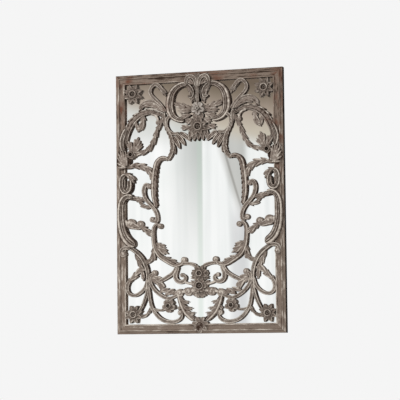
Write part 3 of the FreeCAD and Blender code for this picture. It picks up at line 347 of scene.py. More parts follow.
# How each stroke is carved: section, how high it stands as a share of the relief, and edges with lobes
upper_strokes = [
    (shoulder_shares, "rims", 0.93, "left"),
    (descent_shares, "leaf", 0.95, "both"),
    (loop_shares, "rims", 0.90),
    (curl_upper_shares, "rims", 0.86),
    (curl_lower_shares, "leaf", 0.80, "right"),
    (ring_hook_shares, "rims", 0.90),
    (arch_return_shares, "round", 0.86),
    (arch_shares, "arch", 0.98, "left"),
    (crest_ring_shares, "band", 1.00),
]
middle_strokes = [
    (branch_shares, "leaf", 0.92, "both"),
    (oval_band_shares, "ridge", 0.98, "right"),
    (s_scroll_shares, "rims", 0.95),
    (link_shares, "ridge", 0.88, "left"),
    (arm_collar_shares, "round", 0.96),
    (arm_shares, "rims", 0.90),
    (arm_leaf_shares, "leaf", 0.92, "both"),
]
lower_strokes = [
    (spur_shares, "leaf", 0.88, "both"),
    (base_link_shares, "rims", 0.88),
    (diagonal_shares, "rims", 0.88),
    (volute_shares, "rims", 0.90),
    (volute_link_shares, "round", 0.84),
    (lower_oval_shares, "ridge", 0.97),
    (fringe_shares, "leaf", 0.76, "both"),
    (corner_loop_shares, "rims", 0.92),
    (loop_leaf_shares, "leaf", 0.90, "both"),
    (festoon_shares, "rims", 0.92),
    (bud_link_shares, "round", 0.84),
    (drop_leaf_shares, "claw", 0.95, "right"),
    (spray_shares, "rims", 0.84),
    (spray_link_shares, "round", 0.82),
    (corner_leaf_shares, "leaf", 0.88, "both"),
    (sweep_shares, "rims", 0.94),
    (main_scroll_shares, "band", 1.00),
]


def place(shares):
    """Turn shares of the half width and the height into a place."""
    return shares[0] * half_width, shares[1] * height


def cubic(stops, values, runs):
    """A smooth curve through values at stops, read at other runs."""
    count = len(stops)
    gaps = np.diff(stops)
    slopes = np.diff(values) / gaps
    system = np.eye(count)
    target = np.zeros(count)
    for i in range(1, count - 1):
        system[i, i - 1] = gaps[i - 1]
        system[i, i] = 2 * (gaps[i - 1] + gaps[i])
        system[i, i + 1] = gaps[i]
        target[i] = 6 * (slopes[i] - slopes[i - 1])
    bends = np.linalg.solve(system, target)
    cell = np.clip(np.searchsorted(stops, runs, side="right") - 1, 0, count - 2)
    gap = gaps[cell]
    after = runs - stops[cell]
    before = stops[cell + 1] - runs
    curved = (bends[cell] * before ** 3 + bends[cell + 1] * after ** 3) / (6 * gap)
    left = (values[cell] / gap - bends[cell] * gap / 6) * before
    right = (values[cell + 1] / gap - bends[cell + 1] * gap / 6) * after
    return curved + left + right


class Path:
    """A smooth centre line in the front view, with a width along it."""

    def __init__(self, rows):
        knots = np.array([place(row) for row in rows])
        widths = np.array([row[2] for row in rows]) * scroll_width
        chords = np.linalg.norm(np.diff(knots, axis=0), axis=1)
        stops = np.concatenate([[0.0], np.cumsum(chords)])
        count = max(2 * half_count, int(stops[-1] / along_step))
        runs = np.linspace(0.0, stops[-1], count)
        self.spots = np.stack([cubic(stops, knots[:, i], runs) for i in (0, 1)], axis=1)
        self.widths = np.interp(runs, stops, widths)
        ahead = np.gradient(self.spots, axis=0)
        self.ahead = ahead / np.linalg.norm(ahead, axis=1)[:, None]
        self.beside = np.stack([-self.ahead[:, 1], self.ahead[:, 0]], axis=1)
        steps = np.linalg.norm(np.diff(self.spots, axis=0), axis=1)
        self.runs = np.concatenate([[0.0], np.cumsum(steps)])
        self.length = self.runs[-1]


def wave(x, z):
    """The small unevenness of hand carving."""
    slow = np.sin(x * slow_turns[0] + 1.3) * np.cos(z * slow_turns[1] + 0.7)
    return slow + 0.6 * np.sin(x * quick_turns[0] - z * quick_turns[1])


def bump(across, centre, reach):
    """A round bead across a section."""
    return np.sqrt(np.clip(1 - ((across - centre) / reach) ** 2, 0.0, 1.0))


def section(style, across):
    """The height and the paleness of a stroke's top, from one edge to the other."""
    side = np.abs(across)
    if style in bead_shares:
        base, rows = bead_shares[style]
        beads = np.max([tall * bump(across, centre, reach) for centre, reach, tall in rows], axis=0)
        return base + (1 - base) * beads, beads ** tone_power
    if style == "arch":
        face = 0.70 * bump(across, -0.08, 0.46)
        beads = np.maximum(bump(across, 0.66, 0.22), 0.9 * bump(across, -0.78, 0.18))
        return 0.25 + 0.75 * np.maximum(beads, face), np.maximum(beads ** tone_power, 0.62 * face)
    if style == "petal":
        beads = np.maximum(bump(side, 0.72, 0.24), bump(side, 0.0, 0.12))
        return 0.40 + 0.45 * side ** 2 + 0.15 * beads, 0.95 * beads
    if style == "ray":
        crown = bump(side, 0.0, 0.95)
        return 0.2 + 0.8 * crown, np.clip(1.5 * crown - 0.75, 0.0, 1.0)
    if style == "bed":
        return 0.3, 0.02
    if style == "leaf":
        vein = bump(side, 0.0, 0.14)
        swell = bump(side, 0.45, 0.70)
        return 0.35 + 0.60 * swell - 0.20 * vein, 0.25 + 0.42 * swell - 0.22 * vein
    crown = np.sqrt(np.clip(1 - side ** 2.4, 0.0, 1.0))
    return 0.3 + 0.7 * crown, crown


def lobes(phase):
    """A row of lobes that swell forward to a blunt tip, with sharp notches between them."""
    part = phase - np.floor(phase)
    return part ** lobe_swell * (1 - part ** lobe_close) / lobe_peak


def leaf_rows(base, tip, girth, bend_share=0.0):
    """The centre line and widths of a leaf from its base to its tip."""
    base, tip = np.array((base, tip))
    across, along = tip - base
    sway = bend_share * np.array([along * height / half_width, -across * half_width / height])
    middle = (base + tip) / 2 + sway
    spots = (base, (base + middle) / 2 + sway / 4, middle, (tip + middle) / 2 + sway / 4, tip)
    return [(*spot, girth * share) for spot, share in zip(spots, leaf_girth_shares)]


def around(row, reach, angle):
    """Places at a reach round a row's place."""
    x, z = place(row)
    return x + reach * np.sin(angle), z + reach * np.cos(angle)


def full_turn(count):
    """Angles once round."""
    return np.linspace(0.0, 2 * math.pi, count)[None, :]


def quads(rows, columns):
    """The four-sided faces of a grid of points."""
    index = np.arange(rows * columns).reshape(rows, columns)
    corners = [index[:-1, :-1], index[1:, :-1], index[1:, 1:], index[:-1, 1:]]
    return np.stack(corners, axis=-1).reshape(-1, 4)


def toned_mesh(name, points, faces, tones, sharp_degrees):
    """A smooth mesh that carries its paleness."""
    data = bpy.data.meshes.new(name)
    data.from_pydata(np.concatenate(points).tolist(), [], np.concatenate(faces).tolist())
    layer = data.attributes.new("tone", "FLOAT", "POINT")
    layer.data.foreach_set("value", np.concatenate(tones).astype(np.float32))
    data.validate()
    data.shade_smooth()
    data.set_sharp_from_angle(angle=math.radians(sharp_degrees))
    return data


class Piece:
    """A carved piece of the right half, or of the middle, gathered from grids of points."""

    def __init__(self, overlay=False):
        self.overlay = overlay
        self.top_y = applied_y if overlay else crown_y
        self.petal_foot = foot_y
        self.petal_top = self.top_y
        self.points = []
        self.faces = []
        self.tones = []

    def grid(self, x, y, z, tone):
        """Add a grid of points with side walls down to the glass or, for an overlay, to the rail."""
        whole = np.broadcast_arrays(x, y, z, tone)
        x, y, z, tone = (np.pad(values, 1, mode="edge") for values in whole)
        foot = np.where(self.overlay & (np.abs(x) >= sight_x), front_y + sink, foot_y)
        for line in (np.s_[0, :], np.s_[-1, :], np.s_[:, 0], np.s_[:, -1]):
            y[line] = foot[line]
            tone[line] = wall_tone
        first = sum(len(points) for points in self.points)
        self.points.append(np.stack([x.ravel(), y.ravel(), z.ravel()], axis=1))
        self.tones.append(np.clip(tone, 0.0, 1.0).ravel())
        self.faces.append(quads(*x.shape) + first)

    def heights(self, x, z, level, lift):
        """The y of tops that stand at a level between the shoulder and the crown."""
        relief = (foot_y - self.top_y) * lift
        shoulder = relief * shoulder_share
        return foot_y - (shoulder + (relief - shoulder) * level) - waver * wave(x, z)

    def stroke(self, rows, style="rims", lift=1.0, lobed_on="neither", tip=False):
        """A carved band along a centre line, lobed on its left, its right, both or neither."""
        path = Path(rows)
        across = np.linspace(-1.0, 1.0, 2 * half_count + 1)[None, :]
        side = np.abs(across)
        runs = path.runs[:, None]
        width = path.widths[:, None] / 2
        end = np.clip(np.minimum(runs, path.length - runs) / width, 0.0, 1.0)
        rounding = np.sqrt(np.clip(1 - (1 - end) ** 2, least_round_share, 1.0))
        pitch = lobe_pitches.get(style, plain_pitch)
        depth = lobe_depth_shares.get(style, plain_depth_share)
        count = max(2, round(path.length / pitch))
        saw = lobes(runs / path.length * count - lobe_lean_share * side)
        lobed = np.where(across > 0, lobed_on in ("left", "both"), lobed_on in ("right", "both"))
        reach = width * rounding * np.where(lobed, 1 - depth * (1 - saw) * side, 1.0)
        lean = np.where(lobed, pitch * lobe_reach_share * saw * across ** 2, 0.0)
        sideways = across * reach
        x, z = (
            path.spots[:, i:i + 1] + path.beside[:, i:i + 1] * sideways + path.ahead[:, i:i + 1] * lean
            for i in (0, 1)
        )
        level, tone = section(style, across)
        grooved = np.where(lobed, 1 - notch_share * (1 - saw) * side ** 0.5, 1.0)
        level = level * grooved * (0.5 + 0.5 * rounding)
        tone = tone * np.where(lobed, 0.10 + 1.10 * saw, 1.0)
        if tip:
            level = level * (1 - tip_fade_share * (runs / path.length) ** 2)
        self.grid(x, self.heights(x, z, level, lift), z, tone)

    def strokes(self, rows):
        """Several strokes."""
        for row in rows:
            self.stroke(*row)

    def leaves(self, rows, style="leaf", lift=0.86, lobed_on="both"):
        """Leaves, lobed on both sides or plain."""
        for row in rows:
            self.stroke(leaf_rows(*row), style, lift, lobed_on, tip=True)

    def knobs(self, rows):
        """Round scroll ends with a spiral groove."""
        share = np.linspace(0.02, 1.0, 12)[:, None]
        angle = full_turn(33)
        spiral = np.abs(np.sin(math.pi * (share * knob_turns - angle / (2 * math.pi)))) ** 0.6
        level = np.sqrt(np.clip(1 - share ** 2.2, 0.0, 1.0)) * (0.62 + 0.38 * spiral)
        tone = 0.15 + 0.85 * spiral * (1 - 0.4 * share)
        for row in rows:
            x, z = around(row, row[2] * scroll_width * share, angle)
            self.grid(x, self.heights(x, z, level, 1.0), z, tone)

    def petal_y(self, level):
        """The y of a level of a flower, as a share of its relief."""
        return self.petal_foot + (self.petal_top - self.petal_foot) * level

    def petals(self, row, count, inner_share, outer_share, low, high, turn=0.0, pointed=False):
        """A ring of cupped petals between two levels."""
        x0, z0 = place(row)
        radius = row[2] * scroll_width
        step = 2 * math.pi / count
        run = np.linspace(0.0, 1.0, 12)[:, None]
        across = np.linspace(-1.0, 1.0, 11)[None, :]
        if pointed:
            girth = np.sin(np.pi * np.clip(run * 0.5 + 0.32, 0.0, 1.0)) ** 0.8 * (1 - run ** 4) + 0.03
        else:
            girth = np.sqrt(np.clip(1 - (2 * run - 1.02) ** 4, 0.02, 1.0))
        reach = radius * (inner_share + (outer_share - inner_share) * run)
        half = math.tan(step / 2) * radius * (inner_share + outer_share) * 0.5 * girth * petal_gap_share
        bow = reach - petal_bow_share * half * across ** 2
        sideways = across * half
        cup = 0.45 + 0.55 * np.abs(across) ** 1.5
        vein = bump(across, 0.0, 0.12) * (1 - run)
        rise = low + (high - low) * np.sin(np.pi * (0.12 + 0.68 * run)) * cup
        top = self.petal_y(rise + 0.05 * vein)
        tone = 0.05 + 0.95 * cup * run ** 0.5 - 0.6 * vein
        for i in range(count):
            middle = step * (i + turn)
            x = x0 + bow * math.sin(middle) + sideways * math.cos(middle)
            z = z0 + bow * math.cos(middle) - sideways * math.sin(middle)
            self.grid(x, top - waver * wave(x, z), z, tone)

    def ring(self, row, share, girth_share, beads=0):
        """A small raised ring, plain or beaded."""
        angle = full_turn(49)
        across = np.linspace(-1.0, 1.0, 7)[:, None]
        pulse = 0.75 + 0.25 * np.cos(beads * angle)
        x, z = around(row, row[2] * scroll_width * (share + girth_share * across), angle)
        crown = np.sqrt(np.clip(1 - across ** 2, 0.0, 1.0)) * pulse
        self.grid(x, self.petal_y(0.7 + 0.3 * crown), z, 0.15 + 0.55 * crown)

    def dish(self, row, share, level):
        """The dark sunk floor inside a flower's ring."""
        part = np.linspace(0.03, 1.0, 7)[:, None]
        x, z = around(row, row[2] * scroll_width * share * part, full_turn(25))
        self.grid(x, self.petal_y(level), z, 0.0)

    def mesh(self, name):
        """The gathered grids as one smooth mesh with its tones."""
        return toned_mesh(name, self.points, self.faces, self.tones, carving_sharp_degrees)

    def mirrored(self):
        """The same piece on the other side of the centre line."""
        other = Piece(self.overlay)
        other.points = [points * (-1.0, 1.0, 1.0) for points in self.points]
        other.faces = [faces[:, ::-1] for faces in self.faces]
        other.tones = self.tones
        return other

    def both(self):
        """Join this piece with its reflection."""
        other = self.mirrored()
        count = sum(len(points) for points in self.points)
        self.points += other.points
        self.faces += [faces + count for faces in other.faces]
        self.tones = self.tones + other.tones


def flower(row, count, pointed, ring_share, star_share=0.55):
    """A whole flower: one or two rings of petals, a raised ring and a small star in a dark dish."""
    piece = Piece(overlay=True)
    piece.petal_foot = flower_foot_y
    piece.petal_top = flower_y
    piece.petals(row, count, ring_share * 0.8, 1.00, 0.15, 0.66, 0.5, pointed)
    if pointed:
        piece.petals(row, count, ring_share, 0.66, 0.10, 0.80, 0.0, True)
    piece.ring(row, ring_share, ring_girth_share)
    piece.dish(row, ring_share, 0.20)
    piece.petals(row, side_petals, 0.03, ring_share * star_share, 0.25, 0.75)
    return piece


# The moulding across a rail: share of its width inwards, share of its depth from the back, paleness
rail_shares = [
    # The outer side face, which takes the near-black painted shade
    (0.000, 0.000, painted_side_shade_tone), (0.000, 0.350, painted_side_shade_tone), (0.000, 0.765, painted_side_shade_tone),
    (0.006, 0.772, 0.05), (0.018, 0.790, 0.22), (0.050, 0.808, 0.34), (0.110, 0.832, 0.38),
    (0.180, 0.862, 0.38), (0.240, 0.888, 0.34), (0.268, 0.905, 0.20), (0.280, 0.960, 0.20),
    (0.300, 0.985, 0.55), (0.330, 1.000, 0.72), (0.375, 0.998, 0.62), (0.405, 0.985, 0.46),
    (0.420, 0.940, 0.12), (0.440, 0.908, 0.12), (0.480, 0.893, 0.38), (0.550, 0.872, 0.46),
    (0.640, 0.864, 0.46), (0.730, 0.875, 0.46), (0.800, 0.892, 0.38), (0.832, 0.905, 0.12),
    (0.846, 0.928, 0.35), (0.868, 0.944, 0.72), (0.915, 0.950, 0.80), (0.960, 0.944, 0.74),
    (0.988, 0.926, 0.50), (1.000, 0.900, 0.20), (1.000, 0.800, 0.36), (1.000, 0.620, 0.34),
    (1.000, glass_share, 0.10),
]

# The outer part of its width has a lift of its own
outer_share = 0.27

# The steps behind it: metres inwards, and share of the depth from the back
rebate_shares = [
    (glass_wall, glass_share), (glass_wall, felt_share), (board_wall, felt_share), (board_wall, 0.0),
]


def moulding(name, start, end, outer_lift, paleness):
    """A mitred rail between two outer corners, with the glass on its left."""
    outline = []
    for share, level, tone in rail_shares:
        tone = tone + outer_lift if 0 < share < outer_share else tone * paleness
        outline.append((share * rail_width, level * rail_depth, tone))
    outline += [(inset, level * rail_depth, 0.0) for inset, level in rebate_shares]
    outline.append(outline[0])
    run = np.array(end) - np.array(start)
    length = np.linalg.norm(run)
    ahead = run / length
    count = int(length / (3 * along_step))
    part = np.linspace(0.0, 1.0, count)
    points = []
    tones = []
    for inset, level, tone in outline:
        reach = inset + part * (length - 2 * inset)
        x = start[0] + ahead[0] * reach - ahead[1] * inset
        z = start[1] + ahead[1] * reach + ahead[0] * inset
        worn = waver * wave(x, z) * (level > rail_depth / 2)
        y = np.maximum(back_y - level + worn, front_y)
        points.append(np.stack([x, y, z], axis=1))
        tones.append(np.full(count, tone))
    return toned_mesh(name, points, [quads(len(outline), count)], tones, rail_sharp_degrees)


def linear(code):
    """A colour from its usual six-figure code."""
    parts = [int(code[i:i + 2], 16) / 255 for i in (0, 2, 4)]
    return tuple(c / 12.92 if c <= 0.04045 else ((c + 0.055) / 1.055) ** 2.4 for c in parts) + (1.0,)


def feed(tree, socket, source):
    """Link a node's first output or a given one to a socket, or set it to a number or a colour's code."""
    if hasattr(source, "outputs"):
        source = source.outputs[0]
    if hasattr(source, "is_output"):
        tree.links.new(source, socket)
    else:
        socket.default_value = linear(source) if isinstance(source, str) else source


def add_node(tree, kind, links=(), **settings):
    """A shader node of a kind, with its settings and inputs."""
    made = tree.nodes.new("ShaderNode" + kind)
    for key, value in settings.items():
        setattr(made, key, value)
    for socket, source in links:
        feed(tree, made.inputs[socket], source)
    return made


class Recipe:
    """A procedural material under construction."""

    def __init__(self, name):
        self.material = bpy.data.materials.new(name)
        self.material.use_nodes = True
        self.tree = self.material.node_tree
        self.shader = self.tree.nodes["Principled BSDF"]
        self.where = self.node("TexCoord").outputs["Object"]

    def node(self, kind, links=(), **settings):
        """A node of this material."""
        return add_node(self.tree, kind, links, **settings)

    def stretched(self, scale):
        """Object coordinates scaled along each axis."""
        return self.node("Mapping", [("Vector", self.where), ("Scale", scale)])

    def noise(self, scale, detail, rough, at=None):
        """Cloudy noise between 0 and 1."""
        links = [("Vector", at or self.where), ("Scale", scale), ("Detail", detail), ("Roughness", rough)]
        return self.node("TexNoise", links)

    def combine(self, operation, a, b):
        """A number worked out from two."""
        return self.node("Math", [(0, a), (1, b)], operation=operation)

    def plus(self, a, b):
        """A sum."""
        return self.combine("ADD", a, b)

    def times(self, a, b):
        """A product."""
        return self.combine("MULTIPLY", a, b)

    def swing(self, noise, reach):
        """A noise turned into a change about zero."""
        return self.times(self.plus(noise, -0.5), reach)

    def ramp(self, value, stops):
        """Colours along a value."""
        made = self.node("ValToRGB", [("Fac", value)])
        elements = made.color_ramp.elements
        while len(elements) < len(stops):
            elements.new(0.5)
        for element, (position, code) in zip(elements, stops):
            element.position = position
            element.color = linear(code)
        return made

    def mask(self, value, low, high):
        """A soft step from 0 to 1."""
        links = [("Value", value), ("From Min", low), ("From Max", high)]
        return self.node("MapRange", links, interpolation_type="SMOOTHSTEP")

    def within(self, cover, steps):
        """A cover bounded by soft steps."""
        for value, low, high in steps:
            cover = self.times(cover, self.mask(value, low, high))
        return cover

    def mix(self, share, a, b):
        """One colour over another."""
        return self.node("Mix", [("Factor", share), (6, a), (7, b)], data_type="RGBA").outputs[2]

    def finish(self, colour, roughness, relief=None, **sockets):
        """Set the shader, where relief is a bump's height, strength and depth."""
        sockets["Base Color"] = colour
        sockets["Roughness"] = roughness
        if relief:
            links = zip(("Height", "Strength", "Distance"), relief)
            sockets["Normal"] = self.node("Bump", links)
        for name, value in sockets.items():
            feed(self.tree, self.shader.inputs[name.replace("_", " ")], value)
        return self.material


def limed_wood(name, groove, body, ridge, patch_low, grain, mottle, painted_shade_slope=0.16):
    """Distressed wood: dark grooves, limed ridges, reddish patches, and painted shade that darkens it
    towards the top.
    """
    recipe = Recipe(name)
    rise = recipe.node("SeparateXYZ", [("Vector", recipe.where)]).outputs["Z"]
    tone = recipe.node("Attribute", attribute_name="tone").outputs["Fac"]
    drawn = recipe.stretched([min(1.0, part ** 4) for part in grain])
    clouds = recipe.noise(38.0, 5.0, 0.65, drawn)
    specks = recipe.noise(260.0, 3.0, 0.7)
    fibres = recipe.noise(9.0, 4.0, 0.6, recipe.stretched(grain))
    flakes = recipe.noise(95.0, 2.0, 0.6, drawn)
    # Painted shade: paleness falls with height, so the wood is darker towards the top
    worn = recipe.plus(tone, recipe.times(recipe.combine("SUBTRACT", even_height, rise), painted_shade_slope))
    for noise, reach in ((clouds, 1.1), (specks, 0.4), (fibres, 0.4), (flakes, mottle)):
        worn = recipe.plus(worn, recipe.swing(noise, reach))
    colour = recipe.ramp(worn, [(0.0, groove), (0.32, body), (0.62, body), (1.0, ridge)])
    patches = recipe.mask(recipe.noise(7.0, 3.0, 0.55), patch_low, patch_low + patch_softness)
    red = recipe.within(patches, [(clouds, 0.35, 0.60), (tone, 0.15, 0.35), (rise, *patch_heights)])
    colour = recipe.mix(red, colour, patch_code)
    # Painted shade: where paleness is below 0, the frame's outer sides turn near-black
    colour = recipe.mix(recipe.mask(tone, painted_side_shade_tone, painted_side_shade_tone / 2), painted_side_shade_code, colour)
    rough = recipe.plus(recipe.times(specks, 0.25), 0.62)
    bumps = recipe.plus(recipe.times(clouds, 1.5), recipe.plus(specks, fibres))
    return recipe.finish(colour, rough, (bumps, 0.55, 0.0008), Specular_IOR_Level=0.06)


# Wood: codes of its groove, body and ridge, where reddish patches start, grain, mottling and the slope of
# painted top shade.
# Heights are metres: painted shade makes wood darker above the even height and paler below it, and patches
# fade in between their heights.
even_height = 0.5625
patch_code = "6b4a3c"
patch_softness = 0.14
patch_heights = (0.35, 1.00)
# Near-black painted shade for the frame's outer sides
painted_side_shade_code = "0d0906"
even_grain = (1.0, 1.0, 1.0)
carved_wood = limed_wood("limed_carving", "3a2c24", "857970", "cbc2b7", 0.60, even_grain, 1.0)
upright_wood = limed_wood("limed_stile", "3a2c24", "827469", "cbc2b7", 0.50, (9.0, 9.0, 0.7), 1.7, 0.28)
level_wood = limed_wood("limed_rail", "3a2c24", "827469", "cbc2b7", 0.48, (0.7, 9.0, 9.0), 1.1)
pale_wood = limed_wood("limed_flower", "3a2e27", "a59d95", "ebe8e3", 0.80, even_grain, 0.3)


def grainy(name, texture, stops, roughness, relief=None, stretch=(1.0, 1.0, 1.0)):
    """A material coloured by one noise, where relief is a bump's strength and depth."""
    recipe = Recipe(name)
    grain = recipe.noise(*texture, recipe.stretched(stretch))
    return recipe.finish(recipe.ramp(grain, stops), roughness, relief and (grain, *relief))


def add_object(name, data):
    """A new object in the scene."""
    made = bpy.data.objects.new(name, data)
    bpy.context.scene.collection.objects.link(made)
    return made


def dress(mesh, name, node, material=carved_wood):
    """A mesh as a piece of the frame that stands for its node."""
    piece = add_object(name, mesh)
    mesh.materials.append(material)
    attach(piece, "frame")
    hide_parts(node)


def pair(piece, name, node):
    """A carved piece on the right and its reflection on the left."""
    for side, half in (("right_", piece), ("left_", piece.mirrored())):
        dress(half.mesh(side + name), side + name, side + node)


# Rails: piece, node, outer corners, lift of the outer part's paleness, share of the rest's, and wood
low_left = (-half_width, 0.0)
low_right = (half_width, 0.0)
high_left = (-half_width, height)
high_right = (half_width, height)
for name, node, start, end, outer_lift, paleness, material in (
    ("bottom_moulding", "bottom_rail", low_left, low_right, -0.10, 1.0, level_wood),
    ("top_moulding", "top_rail", high_right, high_left, -0.12, 0.8, level_wood),
    ("right_moulding", "right_stile", low_right, high_right, 0.16, 1.0, upright_wood),
    ("left_moulding", "left_stile", high_left, low_left, 0.16, 1.0, upright_wood),
):
    dress(moulding(name, start, end, outer_lift, paleness), name, node, material)

# Openwork, board by board
upper = Piece()
upper.strokes(upper_strokes)
upper.leaves(upper_leaf_shares)
upper.leaves(upper_petal_shares, "petal", 0.92, "neither")
upper.leaves(stem_leaf_shares, "petal", 0.55, "neither")
upper.knobs(upper_ball_shares)
for row in heart_shares:
    upper.petals(row, heart_petals, *bed_petal_shares)
upper.stroke([(0.0, level, stem_girth) for level in stem_shares], "rims", 0.9)
upper.petals(corner_flower_shares[0], corner_petals, *corner_petal_shares, True)
pair(upper, "upper_carving", "upper_openwork")

middle = Piece()
middle.strokes(middle_strokes)
middle.leaves(middle_leaf_shares)
middle.knobs(middle_ball_shares)
pair(middle, "middle_carving", "middle_openwork")

lower = Piece()
lower.strokes(lower_strokes)
lower.leaves(lower_leaf_shares)
lower.knobs(lower_ball_shares)
for row in base_cluster_shares:
    lower.petals(row, base_petals, *bed_petal_shares)
lower.petals(spray_flower_shares, side_petals, *spray_petal_shares)
lower.petals(corner_flower_shares[1], corner_petals, *corner_petal_shares, True)
pair(lower, "lower_carving", "lower_openwork")

# Carving laid over the stiles
shell = Piece(overlay=True)
shell.leaves(shell_bed_shares, "bed", 0.90, "neither")
shell.leaves(shell_leaf_shares, "ray", 0.97, "neither")
shell.stroke(arch_tail_shares, "band")
pair(shell, "shell_carving", "side_shell")

side_ring = Piece(overlay=True)
side_ring.stroke(side_ring_shares, "band", 0.98)
side_ring.leaves(ring_leaf_shares, "leaf", 1.0)
pair(side_ring, "ring_carving", "side_ring")

bracket = Piece(overlay=True)
bracket.stroke(bracket_shares, "band")
pair(bracket, "bracket_carving", "side_bracket")

eye = Piece(overlay=True)
eye.stroke(eye_scroll_shares, "rims", 0.94)
eye.knobs([eye_shares])
pair(eye, "eye_carving", "side_eye")

# Flowers: piece, node, place, count of petals, pointed or not, and shares of the ring and of its star
for name, node, *look in (
    ("side_blossom", "side_flower", side_flower_shares, side_petals, False, 0.48, 0.15),
    ("spray_blossom", "spray_flower", spray_flower_shares, side_petals, False, 0.34, 0.45),
    ("top_corner_rosette", "top_corner_flower", corner_flower_shares[0], corner_petals, True, 0.32),
    ("bottom_corner_rosette", "bottom_corner_flower", corner_flower_shares[1], corner_petals, True, 0.32),
):
    pair(flower(*look), name, node)

crest = flower(crest_flower_shares, side_petals, False, 0.20)
dress(crest.mesh("crest_blossom"), "crest_blossom", "crest_flower", pale_wood)
for name, node, *look in (
    ("crest_star", "crest_rosette", crest_rosette_shares, corner_petals, True, 0.40),
    ("upper_base_star", "upper_base_flower", base_flower_shares[0], corner_petals, True, 0.34),
    ("lower_base_blossom", "lower_base_flower", base_flower_shares[1], base_petals, False, 0.52),
):
    dress(flower(*look).mesh(name), name, node)

finial = Piece(overlay=True)
finial.stroke(fleur_shares, "rims", 0.97)
finial.leaves(fleur_leaf_shares, "leaf", 0.95)
finial.both()
finial.stroke([(0.0, level, stem_girth) for level in finial_stem_shares])
dress(finial.mesh("crest_stem"), "crest_stem", "crest_finial")

boss = Piece(overlay=True)
boss.petal_foot = front_y + sink
boss.petals(boss_petal_shares, boss_petals, *boss_ring_petal_shares)
boss.ring(boss_ring_shares, 0.85, 0.16, boss_beads)
boss.dish(boss_dish_shares, 1.0, 0.92)
dress(boss.mesh("base_boss"), "base_boss", "bottom_boss")


def repaint(material, *names):
    """Give kept solids a material."""
    for name in names:
        for slot in nodes[name].material_slots:
            slot.material = material


recipe = Recipe("silvered_glass")
tarnish = recipe.mask(recipe.noise(3.0, 2.0, 0.5), 0.45, 0.75)
silver = recipe.mix(tarnish, "fbfcfb", "f3f6f4")
gloss = recipe.plus(recipe.times(tarnish, 0.012), 0.012)
repaint(recipe.finish(silver, gloss, Metallic=1.0), "mirror_glass")

recipe = Recipe("fibreboard")
fibres = recipe.noise(420.0, 4.0, 0.7)
mixed = recipe.plus(recipe.times(fibres, 0.6), recipe.times(recipe.noise(14.0, 3.0, 0.5), 0.4))
kraft = recipe.ramp(mixed, [(0.30, "6a4e36"), (0.55, "8a6a4c"), (0.75, "9d7d5c")])
repaint(recipe.finish(kraft, 0.85, (fibres, 0.25, 0.0003)), "backboard")

felt = grainy("grey_felt", (900.0, 3.0, 0.8), [(0.3, "4c4c4e"), (0.7, "707072")], 0.95, (0.5, 0.0004))
repaint(felt, "backing_felt")

beech_stops = [(0.35, "b08a5c"), (0.65, "cba777")]
beech = grainy("dowel_beech", (30.0, 3.0, 0.6), beech_stops, 0.6, (0.2, 0.0002), (6.0, 6.0, 1.0))
repaint(beech, "mitre_dowels")

recipe = Recipe("zinc_plate")
brushing = recipe.noise(60.0, 3.0, 0.6, recipe.stretched((1.0, 1.0, 24.0)))
spots = recipe.mask(recipe.noise(120.0, 2.0, 0.6), 0.55, 0.8)
zinc = recipe.mix(spots, "c9c7c1", "a19d93")
rubbed = recipe.plus(recipe.times(brushing, 0.25), 0.22)
zinc_metal = recipe.finish(zinc, rubbed, (brushing, 0.15, 0.0001), Metallic=1.0)
repaint(zinc_metal, "backboard_screws", "hanger_screws")
repaint(zinc_metal, "left_hanger_plate", "right_hanger_plate", "left_hanger_ring", "right_hanger_ring")

rubber = grainy("black_rubber", (700.0, 3.0, 0.7), [(0.3, "1b1b1c"), (0.7, "2a2a2b")], 0.8, (0.3, 0.0002))
repaint(rubber, "wall_bumpers")

# Stage: the floor, and later the curtain
square = ((-1.0, -1.0), (1.0, -1.0), (1.0, 1.0), (-1.0, 1.0))


def stage_plane(name, corners):
    """A flat four-sided stage piece."""
    data = bpy.data.meshes.new(name)
    data.from_pydata(corners, [], [(0, 1, 2, 3)])
    plane = add_object(name, data)
    return plane


floor_drop = 0.9
floor_reach = 4.0
floor = stage_plane("floor", [(x * floor_reach, y * floor_reach, -floor_drop) for x, y in square])
pale_floor = grainy("pale_floor", (2.0, 3.0, 0.5), [(0.3, "e6e5e3"), (0.7, "ecebe9")], 0.8)
floor.data.materials.append(pale_floor)

# Camera at the photo's angle
photo_pixels = 400
focal_pixels = 1600.0
sensor = 36.0
pitch = math.radians(-4.66)
yaw = math.radians(16.95)
roll = math.radians(-0.61)
offset = Vector((-0.006, 0.007, 7.294))
turn = Matrix.Rotation(roll, 3, "Z") @ Matrix.Rotation(pitch, 3, "X") @ Matrix.Rotation(yaw, 3, "Y")
to_world = Matrix(((1, 0, 0), (0, 0, 1), (0, -1, 0)))
centre = Vector((0.0, front_y, height / 2))
eye_place = centre + to_world @ (turn.transposed() @ (-offset))
view = to_world @ turn.transposed()
camera_data = bpy.data.cameras.new("camera")
camera_data.sensor_width = sensor
camera_data.lens = focal_pixels * sensor / photo_pixels
camera = add_object("camera", camera_data)
axes = Matrix((view.col[0], -view.col[1], -view.col[2])).transposed()
camera.matrix_world = Matrix.Translation(eye_place) @ axes.to_4x4()
bpy.context.scene.camera = camera
bpy.context.scene.view_settings.view_transform = "Standard"

# Painted reflection: a glowing curtain in front of the mirror, no lamp, seen only in its reflection
mirror_eye_y = 2 * glass_y - eye_place.y
curtain_y = -2.4
stretch = (mirror_eye_y - curtain_y) / (mirror_eye_y - glass_y)


def on_curtain(x, z):
    """The place on the curtain that the camera sees at a place on the glass."""
    return eye_place.x + (x - eye_place.x) * stretch, eye_place.z + (z - eye_place.z) * stretch


left_x, low_z = on_curtain(*low_left)
right_x, high_z = on_curtain(*high_right)
painted_reflection = stage_plane("painted_reflection", [(0.5 + x, 0.0, 0.5 + z) for x, z in square])
painted_reflection.location = (left_x, curtain_y, low_z)
painted_reflection.scale = (right_x - left_x, 1.0, high_z - low_z)
for part in ("camera", "diffuse", "shadow", "transmission", "volume_scatter"):
    setattr(painted_reflection, "visible_" + part, False)

